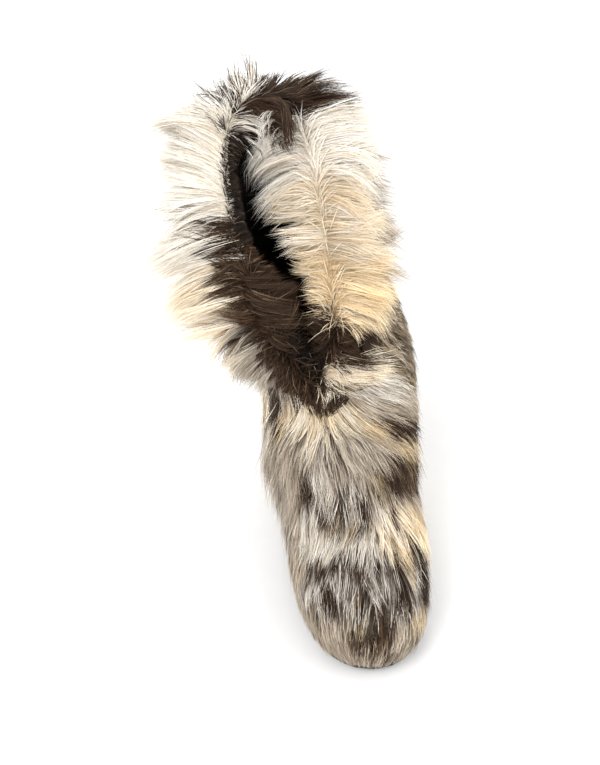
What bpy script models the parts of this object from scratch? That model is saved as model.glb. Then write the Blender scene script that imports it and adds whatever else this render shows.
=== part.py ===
"""Tall fur boot for the right foot: a hollow hide upper on a thin rubber sole, under three pelts.

Metres, +Z up. The toe points along -Y and the inner side of the foot, the medial side, lies along +X.
The origin is on the floor, under the middle of the heel.
"""

import math
import random
from collections import namedtuple

import bmesh
import bpy
from mathutils import Vector

# Sole
SOLE_LENGTH = 0.284
BALL_WIDTH = 0.104
HEEL_REACH = 0.046  # from the origin back to the end of the sole
FOREFOOT_THICKNESS = 0.008
HEEL_THICKNESS = 0.012
TOE_SPRING = 0.007
ARCH_LIFT = 0.004
TREAD_DEPTH = 0.0022
TREAD_GROOVE = 0.005
TREAD_BAR = 0.012
SOLE_EDGE_RIB = 0.0012
SOLE_MARGIN = 0.001  # how far the sole stands out past the upper
GROOVE_DRAFT = 0.0006
HEEL_BARS = 2  # grooves on each side of the bar under the heel's middle
BALL_BARS = 3
BALL_PLACE = -0.145  # the middle of the forefoot's tread

# Upper
INSTEP_HEIGHT = 0.112
HIDE_THICKNESS = 0.003
THROAT_HEIGHT = 0.172
COLLAR_HEIGHT = 0.322
COLLAR_DEPTH = 0.148
COLLAR_WIDTH = 0.088
SHAFT_LEAN = 0.046  # how far the collar's middle lies to the outer side of the heel
INSOLE_THICKNESS = 0.003

# Fur
GAP = 0.0003  # between pieces that touch
STRIP_GAP = 0.0009  # between the hide and the strip folded over its rim
SEAM_GAP = 0.0008  # between the edges of two pelts
PILE = 0.005  # the dense underfur over the hide
VAMP_LOCK = 0.019
SHAFT_LOCK = 0.030
COLLAR_LOCK = 0.056
LINING_LOCK = 0.016
COLLAR_BAND = 0.030  # how far the collar strip reaches down both sides of the hide
VAMP_LIFT = 0.34  # how steeply locks rise off the hide
SHAFT_LIFT = 0.52
VAMP_COMB = 0.5  # how strongly fur is drawn towards the toe
SHAFT_COMB = 0.15
EDGE_LOCK = 0.4  # share of a lock's length at the sole's edge
EDGE_LEVELS = 3  # levels over which locks reach their whole length
LOCK_VARIES = (0.85, 1.1)  # shares of a lock's length and lift
LOCK_SAG = 0.14  # share of a lock's length
BACK_DROP = 0.6  # how much more the collar's long locks fall at the back
FRONT_TRIM = 0.3  # how much shorter the collar's locks are at the throat
FUR_SEED = 11

# Grid
VAMP_LEVELS = (0, 0.8, 1.6, 2.4, 3.2, 4, 5, 6, 6.85)  # the hide's rows, up to the ankle seam
SHAFT_ROWS = 5
COLUMNS = 28
SOLE_STEPS = 20
PROBE = 0.05  # the step, in levels or radians, that slopes are measured over
LONG_STAGES = ((0.35, 0.86), (0.7, 0.55))  # share of the way along a lock, and its size there
SHORT_STAGES = ((0.5, 0.7),)

# A section's ends lie along the sole, its rises are heights over the sole, and its three widths are the
# half widths that pull its outline at the heel, the middle and the front. Middle and toe are sideways
# shifts of its centre line, square is how boxy its ends are, and dip is how fast its edge climbs from
# the front, where 1 is a flat plane and less is a steep notch.
Section = namedtuple(
    "Section", "back front back_up front_up heel middle fore shift toe square dip"
)

# Ends are shares of SOLE_LENGTH, rises of INSTEP_HEIGHT, widths and shifts of BALL_WIDTH.
FOOT_SECTIONS = (
    Section(0.012, 0.975, 0.00, 0.00, 0.33, 0.34, 0.57, -0.02, 0.16, 2.3, 1.0),
    Section(-0.004, 0.995, 0.13, 0.12, 0.35, 0.38, 0.60, -0.02, 0.17, 2.3, 1.0),
    Section(-0.012, 0.990, 0.32, 0.27, 0.36, 0.42, 0.60, -0.02, 0.17, 2.3, 1.0),
    Section(-0.012, 0.950, 0.50, 0.40, 0.37, 0.43, 0.57, -0.02, 0.15, 2.3, 1.0),
    Section(-0.006, 0.860, 0.68, 0.50, 0.38, 0.46, 0.53, -0.02, 0.11, 2.3, 1.0),
    Section(0.004, 0.745, 0.84, 0.61, 0.40, 0.52, 0.49, -0.02, 0.08, 2.2, 1.0),
    Section(0.012, 0.635, 0.98, 0.76, 0.42, 0.57, 0.46, -0.01, 0.05, 2.2, 1.0),
    Section(0.016, 0.545, 1.14, 0.98, 0.44, 0.60, 0.46, 0.00, 0.03, 2.2, 1.0),
)

# Ends are shares of COLLAR_DEPTH from the heel's back, widths of COLLAR_WIDTH and shifts of SHAFT_LEAN.
# Rises are shares of the way from the instep to the collar's back or to the throat.
SHAFT_SECTIONS = (
    Section(0.035, 0.985, 0.22, 0.35, 0.54, 0.68, 0.54, -0.16, 0.05, 2.2, 0.9),
    Section(0.020, 0.965, 0.46, 0.62, 0.52, 0.64, 0.50, -0.40, 0.11, 2.3, 0.75),
    Section(0.000, 0.975, 0.73, 0.83, 0.46, 0.50, 0.42, -0.72, 0.20, 2.4, 0.6),
    Section(-0.020, 0.985, 1.00, 1.00, 0.39, 0.40, 0.34, -1.00, 0.30, 2.6, 0.5),
)


def sole_share(y):
    """How far along the sole a place lies, from 0 at the heel's back to 1 at the toe."""
    return (HEEL_REACH - y) / SOLE_LENGTH


def eased(share, start, end):
    """0 before start, 1 after end and a soft ramp between them."""
    ramp = min(1.0, max(0.0, (share - start) / (end - start)))
    return ramp * ramp * (3 - 2 * ramp)


def sole_bottom(y):
    """Height of the sole's underside: flat at heel and forefoot, lifted at the arch and the toe."""
    share = sole_share(y)
    arch = eased(share, 0.26, 0.36) * (1 - eased(share, 0.46, 0.56))
    toe = max(0.0, share - 0.78) / 0.22
    return ARCH_LIFT * arch + TOE_SPRING * toe * toe


def sole_top(y):
    """Height of the face that the upper stands on."""
    share = sole_share(y)
    step = eased(share, 0.22, 0.60)
    toe = max(0.0, share - 0.74) / 0.26
    return HEEL_THICKNESS + (FOREFOOT_THICKNESS - HEEL_THICKNESS) * step + TOE_SPRING * toe * toe


def foot_ring(section):
    """A foot section in metres."""
    return Section(
        HEEL_REACH - section.back * SOLE_LENGTH,
        HEEL_REACH - section.front * SOLE_LENGTH,
        section.back_up * INSTEP_HEIGHT,
        section.front_up * INSTEP_HEIGHT,
        section.heel * BALL_WIDTH,
        section.middle * BALL_WIDTH,
        section.fore * BALL_WIDTH,
        section.shift * BALL_WIDTH,
        section.toe * BALL_WIDTH,
        section.square,
        section.dip,
    )


def shaft_ring(section, ankle):
    """A shaft section in metres, over the foot's last ring."""
    return Section(
        HEEL_REACH - section.back * COLLAR_DEPTH,
        HEEL_REACH - section.front * COLLAR_DEPTH,
        ankle.back_up + section.back_up * (COLLAR_HEIGHT - ankle.back_up),
        ankle.front_up + section.front_up * (THROAT_HEIGHT - ankle.front_up),
        section.heel * COLLAR_WIDTH,
        section.middle * COLLAR_WIDTH,
        section.fore * COLLAR_WIDTH,
        section.shift * SHAFT_LEAN,
        section.toe * COLLAR_WIDTH,
        section.square,
        section.dip,
    )


FOOT_RINGS = [foot_ring(section) for section in FOOT_SECTIONS]
RINGS = FOOT_RINGS + [shaft_ring(section, FOOT_RINGS[-1]) for section in SHAFT_SECTIONS]
ANKLE = len(FOOT_RINGS) - 1
RIM = len(RINGS) - 1


def ring_at(level):
    """The section at a level, a smooth blend of the rings on both sides."""
    below = min(int(level), RIM - 1)
    part = level - below
    before, first, second, after = (
        RINGS[min(max(below + step, 0), RIM)] for step in (-1, 0, 1, 2)
    )
    return Section(
        *(
            b
            + 0.5 * part * (c - a + part * (2 * a - 5 * b + 4 * c - d + part * (3 * (b - c) + d - a)))
            for a, b, c, d in zip(before, first, second, after)
        )
    )


def surface(level, angle):
    """A place on the hide's outer face. Angle 0 is the front, and a quarter turn is the inner side."""
    ring = ring_at(level)
    power = 2 / ring.square
    along = math.copysign(abs(math.cos(angle)) ** power, math.cos(angle))
    across = math.copysign(abs(math.sin(angle)) ** power, math.sin(angle))
    ahead = (1 + along) / 2
    behind = 1 - ahead
    y = ring.back + ahead * (ring.front - ring.back)
    width = ring.heel * behind**2 + 2 * ring.middle * ahead * behind + ring.fore * ahead**2
    x = ring.shift + ring.toe * ahead**2 + across * width
    rise = ring.front_up + (ring.back_up - ring.front_up) * behind**ring.dip
    return Vector((x, y, sole_top(y) + GAP + rise))


def uphill(level, angle):
    """The direction up the hide, and how far it goes for each level."""
    low = max(0.0, level - PROBE)
    high = min(RIM, level + PROBE)
    way = (surface(high, angle) - surface(low, angle)) / (high - low)
    return way.normalized(), way.length


def outward(level, angle):
    """The hide's outward normal."""
    turn = surface(level, angle + PROBE) - surface(level, angle - PROBE)
    return turn.cross(uphill(level, angle)[0]).normalized()


def offset_place(level, angle, offset, lift=0.0):
    """A place beside the hide's outer face, or past its rim by lift. The lowest ring stays level."""
    place = surface(level, angle)
    normal = outward(level, angle)
    if level <= 0:
        normal.z = 0
        normal.normalize()
    place += normal * offset
    if level <= 0:
        place.z = sole_top(place.y) + GAP
    return place + uphill(level, angle)[0] * lift


def level_below_rim(angle, distance):
    """The level that lies a distance down the hide from its rim."""
    level = RIM
    place = surface(level, angle)
    left = distance
    while left > 0 and level > PROBE:
        lower = surface(level - PROBE, angle)
        length = (lower - place).length
        if length >= left:
            return level - PROBE * left / length
        level -= PROBE
        left -= length
        place = lower
    return level


def level_grid():
    """The levels of the rows that the hide and every pelt share, for each column."""
    rows = []
    for angle in ANGLES:
        seam = VAMP_LEVELS[-1]
        band = level_below_rim(angle, COLLAR_BAND)
        shaft = [seam + (band - seam) * (row + 1) / SHAFT_ROWS for row in range(SHAFT_ROWS)]
        rows.append([*VAMP_LEVELS, *shaft, level_below_rim(angle, COLLAR_BAND / 2), RIM])
    return list(zip(*rows))


ANGLES = [math.tau * column / COLUMNS for column in range(COLUMNS)]
GRID = level_grid()
SEAM_ROW = len(VAMP_LEVELS) - 1
BAND_ROW = SEAM_ROW + SHAFT_ROWS
RIM_ROW = len(GRID) - 1


def new_object(name, mesh, colour, roughness):
    """Turns a bmesh into a named object with its own plain material."""
    bmesh.ops.recalc_face_normals(mesh, faces=mesh.faces)
    data = bpy.data.meshes.new(name)
    mesh.to_mesh(data)
    mesh.free()
    material = bpy.data.materials.new(name)
    material.use_nodes = True
    shader = material.node_tree.nodes["Principled BSDF"]
    shader.inputs["Base Color"].default_value = (*colour, 1)
    shader.inputs["Roughness"].default_value = roughness
    shader.inputs["Metallic"].default_value = 0
    data.materials.append(material)
    made = bpy.data.objects.new(name, data)
    bpy.context.scene.collection.objects.link(made)
    return made


def add_row(mesh, places):
    return [mesh.verts.new(place) for place in places]


def cells_between(lower, upper):
    """The corners of each cell between two closed rows, seen from outside."""
    count = len(lower)
    return [
        (lower[i], lower[(i + 1) % count], upper[(i + 1) % count], upper[i]) for i in range(count)
    ]


def add_skin(mesh, lower, upper, inside=False):
    """Plain faces between two rows. Every cell is cut along one diagonal, so that pieces which lie
    on each other have the same facets."""
    for a, b, c, d in cells_between(lower, upper):
        for corners in ((a, b, c), (a, c, d)):
            mesh.faces.new(reversed(corners) if inside else corners)


def grid_row(mesh, row, offset, lift=0.0, along=0.0):
    """One row of the shared grid, moved off the hide by offset, past the rim by lift and along the
    hide by along."""
    places = []
    for level, angle in zip(GRID[row], ANGLES):
        if along:
            level += along / uphill(level, angle)[1]
        places.append(offset_place(level, angle, offset, lift))
    return add_row(mesh, places)


def add_lock(mesh, cell, reach, sag, stages):
    """Fuses one lock of fur onto a cell: rings that shrink along its reach, then a point."""
    root = sum((corner.co for corner in cell), Vector()) / len(cell)
    below = list(cell)
    for share, size in stages:
        shift = reach * share + Vector((0, 0, -sag * share**2))
        above = [mesh.verts.new(root + (corner.co - root) * size + shift) for corner in cell]
        for face in cells_between(below, above):
            mesh.faces.new(face)
        below = above
    tip = mesh.verts.new(root + reach + Vector((0, 0, -sag)))
    for i in range(len(cell)):
        mesh.faces.new((below[i], below[(i + 1) % len(cell)], tip))


def combed(level, angle, lift, forward):
    """Which way fur lies: down the hide, drawn towards the toe by forward and raised by lift."""
    normal = outward(level, angle)
    lie = -uphill(level, angle)[0] + Vector((0, -forward, 0))
    lie -= normal * lie.dot(normal)
    return (lie.normalized() + normal * lift).normalized()


def make_upper():
    """The sewn hide: one hollow wall, open at the collar and over the sole."""
    mesh = bmesh.new()
    outer = [grid_row(mesh, row, 0) for row in range(RIM_ROW + 1)]
    inner = [grid_row(mesh, row, -HIDE_THICKNESS) for row in range(RIM_ROW + 1)]
    for rows, inside in ((outer, False), (inner, True)):
        for lower, upper in zip(rows, rows[1:]):
            add_skin(mesh, lower, upper, inside)
    add_skin(mesh, inner[0], outer[0])
    add_skin(mesh, outer[-1], inner[-1])
    return new_object("upper", mesh, (0.33, 0.27, 0.22), 0.9)


def make_pelt(name, first, last, length, lift, forward, colour, plain_row=None):
    """A band of fur round the hide between two rows of the grid. Each cell has a lock, as long as its
    level asks for, apart from a plain row that lies under the locks of the pelt above."""
    mesh = bmesh.new()
    chance = random.Random(FUR_SEED)
    rows = [(row, -SEAM_GAP if row == last else 0) for row in range(first, last + 1)]
    skin = [grid_row(mesh, row, GAP, 0, along) for row, along in rows]
    pile = [grid_row(mesh, row, GAP + PILE, 0, along) for row, along in rows]
    for lower, upper in zip(skin, skin[1:]):
        add_skin(mesh, lower, upper, inside=True)
    add_skin(mesh, skin[0], pile[0])
    add_skin(mesh, pile[-1], skin[-1])
    for row, (lower, upper) in enumerate(zip(pile, pile[1:]), first):
        if row == plain_row:
            add_skin(mesh, lower, upper)
            continue
        for column, cell in enumerate(cells_between(lower, upper)):
            angle = ANGLES[column] + math.pi / COLUMNS
            level = (GRID[row][column] + GRID[row + 1][column]) / 2
            reach = length(level) * chance.uniform(*LOCK_VARIES)
            way = combed(level, angle, lift * chance.uniform(*LOCK_VARIES), forward)
            add_lock(mesh, cell, way * reach, LOCK_SAG * reach, SHORT_STAGES)
    return new_object(name, mesh, colour, 0.95)


def make_vamp_fur():
    """Short fur over the foot, from the sole's edge to the ankle, combed towards the toe."""

    def length(level):
        return VAMP_LOCK * (EDGE_LOCK + (1 - EDGE_LOCK) * min(1.0, level / EDGE_LEVELS))

    colour = (0.55, 0.47, 0.38)
    top = SEAM_ROW - 1
    return make_pelt("vamp_fur", 0, SEAM_ROW, length, VAMP_LIFT, VAMP_COMB, colour, top)


def make_shaft_fur():
    """Longer fur round the shaft, from the ankle up to the collar strip."""

    def length(level):
        return VAMP_LOCK + (SHAFT_LOCK - VAMP_LOCK) * (level - ANKLE) / (RIM - ANKLE)

    colour = (0.62, 0.55, 0.46)
    return make_pelt("shaft_fur", SEAM_ROW, BAND_ROW, length, SHAFT_LIFT, SHAFT_COMB, colour)


def make_collar_fur():
    """The long-haired strip folded over the rim, with long locks outside and short ones inside."""
    mesh = bmesh.new()
    chance = random.Random(FUR_SEED + 1)
    far = GAP + PILE
    inside = -HIDE_THICKNESS - STRIP_GAP
    deep = inside - PILE
    band = (BAND_ROW, BAND_ROW + 1, RIM_ROW)
    over = {RIM_ROW: STRIP_GAP}
    outer_skin = [grid_row(mesh, row, STRIP_GAP, over.get(row, 0)) for row in band]
    inner_skin = [grid_row(mesh, row, inside, over.get(row, 0)) for row in band]
    for rows, within in ((outer_skin, True), (inner_skin, False)):
        for lower, upper in zip(rows, rows[1:]):
            add_skin(mesh, lower, upper, within)
    add_skin(mesh, inner_skin[-1], outer_skin[-1])
    # The fur side, from inside over the top and down the outside. A lock leans by (outward, up).
    inner_low, inner_mid, inner_top = (grid_row(mesh, row, deep) for row in band)
    ridge = grid_row(mesh, RIM_ROW, (far + deep) / 2, far)
    outer_low, outer_mid, outer_top = (grid_row(mesh, row, far) for row in band)
    add_skin(mesh, outer_low, outer_skin[0], inside=True)
    add_skin(mesh, inner_low, inner_skin[0])
    fur_rows = (
        (inner_mid, inner_low, LINING_LOCK, (-0.35, -0.92), SHORT_STAGES),
        (inner_top, inner_mid, LINING_LOCK, (-0.45, -0.75), SHORT_STAGES),
        (ridge, inner_top, LINING_LOCK, (-0.45, 0.75), SHORT_STAGES),
        (outer_top, ridge, COLLAR_LOCK, (1.0, 0.55), LONG_STAGES),
        (outer_mid, outer_top, COLLAR_LOCK, (1.0, 0.15), LONG_STAGES),
        (outer_low, outer_mid, COLLAR_LOCK, (1.0, -0.25), LONG_STAGES),
    )
    for lower, upper, length, (out, up), stages in fur_rows:
        for column, cell in enumerate(cells_between(lower, upper)):
            angle = ANGLES[column] + math.pi / COLUMNS
            drop = BACK_DROP * max(0.0, -math.cos(angle)) if stages is LONG_STAGES else 0
            way = outward(RIM, angle) * out + uphill(RIM, angle)[0] * (up - drop)
            trim = 1 - FRONT_TRIM * max(0.0, math.cos(angle))
            reach = length * trim * chance.uniform(*LOCK_VARIES)
            add_lock(mesh, cell, way.normalized() * reach, LOCK_SAG * reach, stages)
    return new_object("collar_fur", mesh, (0.86, 0.8, 0.7), 0.95)


def feather_edge(y, margin):
    """Centre and half width of the upper's lowest edge at a place along the foot, grown by margin."""
    ring = RINGS[0]
    back = ring.back + margin
    ahead = (back - y) / (back - ring.front + margin)
    behind = 1 - ahead
    along = min(1.0, abs(ahead - behind))
    across = (1 - along**ring.square) ** (1 / ring.square)
    width = ring.heel * behind**2 + 2 * ring.middle * ahead * behind + ring.fore * ahead**2
    return ring.shift + ring.toe * ahead**2, across * (width + margin)


def round_stations():
    """Places along the sole that draw its round ends well."""
    back = RINGS[0].back + SOLE_MARGIN
    front = RINGS[0].front - SOLE_MARGIN
    power = 2 / RINGS[0].square
    turns = [math.pi * (step + 0.35) / (SOLE_STEPS + 0.7) for step in range(SOLE_STEPS + 1)]
    shares = [math.copysign(abs(math.cos(turn)) ** power, math.cos(turn)) for turn in turns]
    return [back + (1 - share) / 2 * (front - back) for share in shares]


def tread_stations(middle, bars):
    """Stations at the edges of the grooves on both sides of a bar that lies at middle."""
    pitch = TREAD_BAR + TREAD_GROOVE
    found = []
    for number in range(bars):
        for side in (-1, 1):
            groove = middle + side * (number + 0.5) * pitch
            for edge in (-1, 1):
                lip = groove + edge * TREAD_GROOVE / 2
                found += [(lip, 0), (lip - edge * GROOVE_DRAFT, TREAD_DEPTH)]
    return found


def make_outsole():
    """The moulded rubber sole: cross grooves under heel and ball, and a rib round its edge."""
    grooves = tread_stations(0, HEEL_BARS) + tread_stations(BALL_PLACE, BALL_BARS)
    places = [y for y, depth in grooves]

    def clear_of_grooves(y):
        return min(abs(y - place) for place in places) > TREAD_GROOVE / 2

    plain = [(y, 0) for y in round_stations() if clear_of_grooves(y)]
    mesh = bmesh.new()
    rows = []
    for y, groove in sorted(plain + grooves, reverse=True):
        centre, half = feather_edge(y, SOLE_MARGIN)
        low = sole_bottom(y) + groove
        high = sole_top(y)
        side = (
            (half - SOLE_EDGE_RIB, low),
            (half, low + SOLE_EDGE_RIB),
            (half - SOLE_EDGE_RIB, (low + high) / 2),
            (half, high - SOLE_EDGE_RIB),
            (half - SOLE_EDGE_RIB, high),
        )
        outer_side = [Vector((centre - x, y, z)) for x, z in side]
        inner_side = [Vector((centre + x, y, z)) for x, z in reversed(side)]
        rows.append(add_row(mesh, outer_side + inner_side))
    for lower, upper in zip(rows, rows[1:]):
        for cell in cells_between(lower, upper):
            mesh.faces.new(cell)
    mesh.faces.new(rows[0])
    mesh.faces.new(reversed(rows[-1]))
    return new_object("outsole", mesh, (0.1, 0.085, 0.075), 0.8)


def make_insole():
    """A thin board that fills the hide's floor."""
    mesh = bmesh.new()
    places = [offset_place(0, angle, -HIDE_THICKNESS - GAP) for angle in ANGLES]
    low = add_row(mesh, places)
    high = add_row(mesh, [place + Vector((0, 0, INSOLE_THICKNESS)) for place in places])
    add_skin(mesh, low, high)
    half = COLUMNS // 2
    for row, under in ((low, True), (high, False)):
        for i in range(half):
            strip = [row[i], row[i + 1], row[-i - 1], row[-i]]
            corners = list(dict.fromkeys(strip))
            mesh.faces.new(reversed(corners) if under else corners)
    return new_object("insole", mesh, (0.16, 0.14, 0.12), 0.8)


def main():
    for old in list(bpy.data.objects):
        bpy.data.objects.remove(old)
    make_outsole()
    make_insole()
    make_upper()
    make_vamp_fur()
    make_shaft_fur()
    make_collar_fur()


main()
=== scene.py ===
"""Looks for the tall fur boot: hair, underfur, hide, felt, rubber, floor, lights and camera.

Laid out as an add-on and run as a script. Metres, +Z up. The toe points along -Y, and the inner side
of the foot lies along +X.
"""

import functools
import math

import bmesh
import bpy
import numpy as np
from bpy.props import FloatProperty, FloatVectorProperty, IntProperty, PointerProperty
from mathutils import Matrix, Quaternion, Vector
from mathutils.bvhtree import BVHTree
from mathutils.kdtree import KDTree


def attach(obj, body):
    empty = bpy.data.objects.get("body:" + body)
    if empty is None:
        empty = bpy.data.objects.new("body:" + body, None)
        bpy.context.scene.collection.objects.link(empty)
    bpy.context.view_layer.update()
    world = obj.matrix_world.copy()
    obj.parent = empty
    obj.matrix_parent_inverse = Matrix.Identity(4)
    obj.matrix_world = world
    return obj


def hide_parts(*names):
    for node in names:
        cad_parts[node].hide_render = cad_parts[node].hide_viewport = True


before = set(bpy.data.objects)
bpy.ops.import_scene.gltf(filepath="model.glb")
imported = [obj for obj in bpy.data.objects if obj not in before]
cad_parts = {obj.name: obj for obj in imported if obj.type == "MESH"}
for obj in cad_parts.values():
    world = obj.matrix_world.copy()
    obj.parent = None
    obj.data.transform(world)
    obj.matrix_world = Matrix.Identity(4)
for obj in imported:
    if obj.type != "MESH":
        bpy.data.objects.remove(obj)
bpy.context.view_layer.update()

bl_info = {
    "name": "Fur boot looks",
    "version": (1, 0, 0),
    "blender": (4, 5, 0),
    "location": "3D View > Sidebar > Fur boot",
    "description": "Dresses the packed fur boot in combed hair over underfur",
    "category": "Object",
}

MM = 0.001

# How the hide's two walls are found and smoothed.
WELD_DISTANCE = 1e-6
WALL_REACH = 4.5 * MM  # a wall's far side lies nearer than this
WALL_FACING = -0.6  # the far side looks the other way at least this much
SHAFT_HEIGHT = 0.1  # the hide's top edge lies over this height, and its sole's edge under it
SMOOTHING_LEVELS = 2
RIM_STEP = 2 * MM
HAIRBREADTH = 1e-5  # starts a ray just under its face, and keeps a corner's weight finite
LEAST_LENGTH = 1e-12  # no vector is divided by less than this

# How near hair may come to the floor and to the skin.
FLOOR_CLEAR = 0.8 * MM
HAIR_CLEAR = 4 * MM
CLEAR_STEPS = 2  # long hair gains its clearance over this many steps

# The strip under the rim that takes the rim's colours, and how the underfur lies.
STRIP_WIDTH = 28 * MM
INNER_STRIP = 12 * MM
PELT_BUMP = 0.6 * MM
PELT_WAVES = ((1, 900, 5),)
PELT_PAINTED_SHADE = 0.75  # of the hair's root colour: the underfur is darkened by this as painted shade in the gaps between the hairs
LIP_PELT = 1.6 * MM  # how much thicker it is on the lip
LIP_WIDTH = 4 * MM
LIP_SHARE = 1 * MM  # the lip counts as inside this far over

# A hair is a flat ribbon: its shape, how its colour turns and its cell in the bake chart.
RIBBON_TWIST = 0.32  # how unevenly hairs are turned about their length, in radians
ROOT_WIDTH = 0.55  # of its full width
WIDENING = 1.8  # how fast it widens from its root
TAPER = 3  # the power by which it narrows to its tip
WIDTH_SPREAD = (0.6, 1.3)  # the thinnest and the thickest hair
SHADE_LIMITS = (0.6, 1.25)  # the darkest and the lightest hair
TURN_BLUR = 0.35  # the share of its length to either side over which its colour turns
TIPPED_DELAY = 0.15  # how much later along it a tipped hair's colour turns
SKY_TILT = 0.3  # how much the flat of the rim's hair faces as its wall does, not up
CELL_SIDE = 0.2
CELL_END = 0.1
COAT_LAYER = "coat"
BAKE_CHART = "OFBake"

# How guides bend and hairs follow them.
LOCK_CURVE = 1.5  # the power by which guides are drawn together towards their tips
CLUMP_CURVE = 0.8  # the same for hairs
STRAY_CURVE = 1.6  # the power by which hairs stray towards their tips
LONGEST_HAIR = 1.08  # of its guide's length
OVERSHOOT = 3  # how much of its guide's last step a longer hair goes on by
LAID_TIP = 0.35  # how much lower the tips of laid hair lie
SWIRL_WAVES = 6
SWIRL_START = 6.3  # about a full turn, in radians

# How the short hair is rooted, combed and sized, with heights and lengths in metres.
COMB_SLANT = 0.4
COMB_HEIGHTS = (0.12, 0.20)  # between these the comb turns from the foot's way to the shaft's
FOOT_FORWARD = 0.9  # how far forward the foot's hair is combed, for each part down
SHAFT_LOSS = 0.75  # how much less that is on the shaft
SHAFT_SLANT = 0.25
VAMP_ENDS = (0.130, 0.160)
SHAFT_STARTS = (0.120, 0.150)
SHAFT_THINNEST = 0.25  # the share of the shaft's hair that grows at the rim
SHAFT_THINS = (0.005, 0.030)
VAMP_LENGTHS = (0.012, 0.018)  # beside the sole, and how much is added over it
VAMP_GROWS = (0.010, 0.045)
SHAFT_LENGTHS = (0.020, 0.016)  # at the back, and how much is added at the front
SHAFT_GROWS = (-0.090, -0.060)
BODY_LENGTH_SPREAD = (0.85, 1.12)
BODY_RISE_SPREAD = (0.55, 1.3)
BODY_WAVES = ((0.20, 40, 3), (0.12, 150, 4), (0.10, 320, 6))  # amount, scale and seed of each
BODY_WANDER = 0.07
MARKED_POINT = 2  # a short hair takes the marking that lies under this point of it

# How the rim's long hair is rooted, in metres.
OUTER_STRIP_ROOTS = (0.032, 0.018)  # how far down it goes, and over what depth it thins out
INNER_STRIP_ROOTS = (0.016, 0.007)
LIP_DEPTH = 0.004
LIP_DENSITY = 2.5  # how much denser it is on the lip
SIDE_SLACK = 0.0004  # a face counts as on a side when it is this much too far
LIP_FADES = (0.002, 0.006)
LIP_ACROSS = (-0.001, 0.0035)  # how far roots on the lip are moved over it
LIP_UP = (0.001, 0.0045)

# How the rim's long hair is thrown.
THROW_SPREAD = (0.85, 1.1)
LONG_TOP_LENGTH = 0.85  # of full length, for the top layer's long streaks
DEEP_SHORTER = 0.35  # how much shorter hair is that roots deep under the rim
DEEP_LENGTHS = (0.0, 0.030)
DEEP_WAYS = (0.004, 0.030)
DEEP_STOOP = 0.35  # how much less deep hair stands off
FALL = (0.15, 0.3, 0.4)  # how far hair falls, how much more when deep and how much less on the lip
LIP_WAYS = (0.001, 0.006)
RIM_WAVES = ((0.34, 45, 8), (0.20, 230, 9))
RIM_WANDER = 0.12
INNER_STEADINESS = (-0.2, 1.25)
OUTER_STEADINESS = (0.6, 1.3)
THROAT_SHARES = (0.10, 0.17)  # between these shares of the rim from its middle the throat ends
INNER_DROOP = (0.45, 0.6)  # everywhere, and how much is added at the throat
OUTER_DROOP = (0.75, 0)
CURL_WAVES = ((0.45, 75, 31), (0.50, 240, 34))  # amount, scale and the first of three seeds
CURL_SPREAD = 0.25
THROAT_CURL = 1.6  # how much more the throat's hair is curled

# The stage: how far the floor reaches each way, and each lamp's name, place, size and share of power.
FLOOR_REACH = 12
LAMPS = (
    ("key", (-0.7, -0.9, 1.5), 0.9, 1.0),
    ("fill", (1.1, -0.5, 1.1), 1.2, 0.5),
    ("back", (0.1, 1.1, 1.2), 0.9, 0.5),
)
LAMP_TARGET = (0, -0.05, 0.12)
VIEW_TARGET = (-0.030, -0.066, 0.150)
SENSOR_WIDTH = 36
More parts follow.
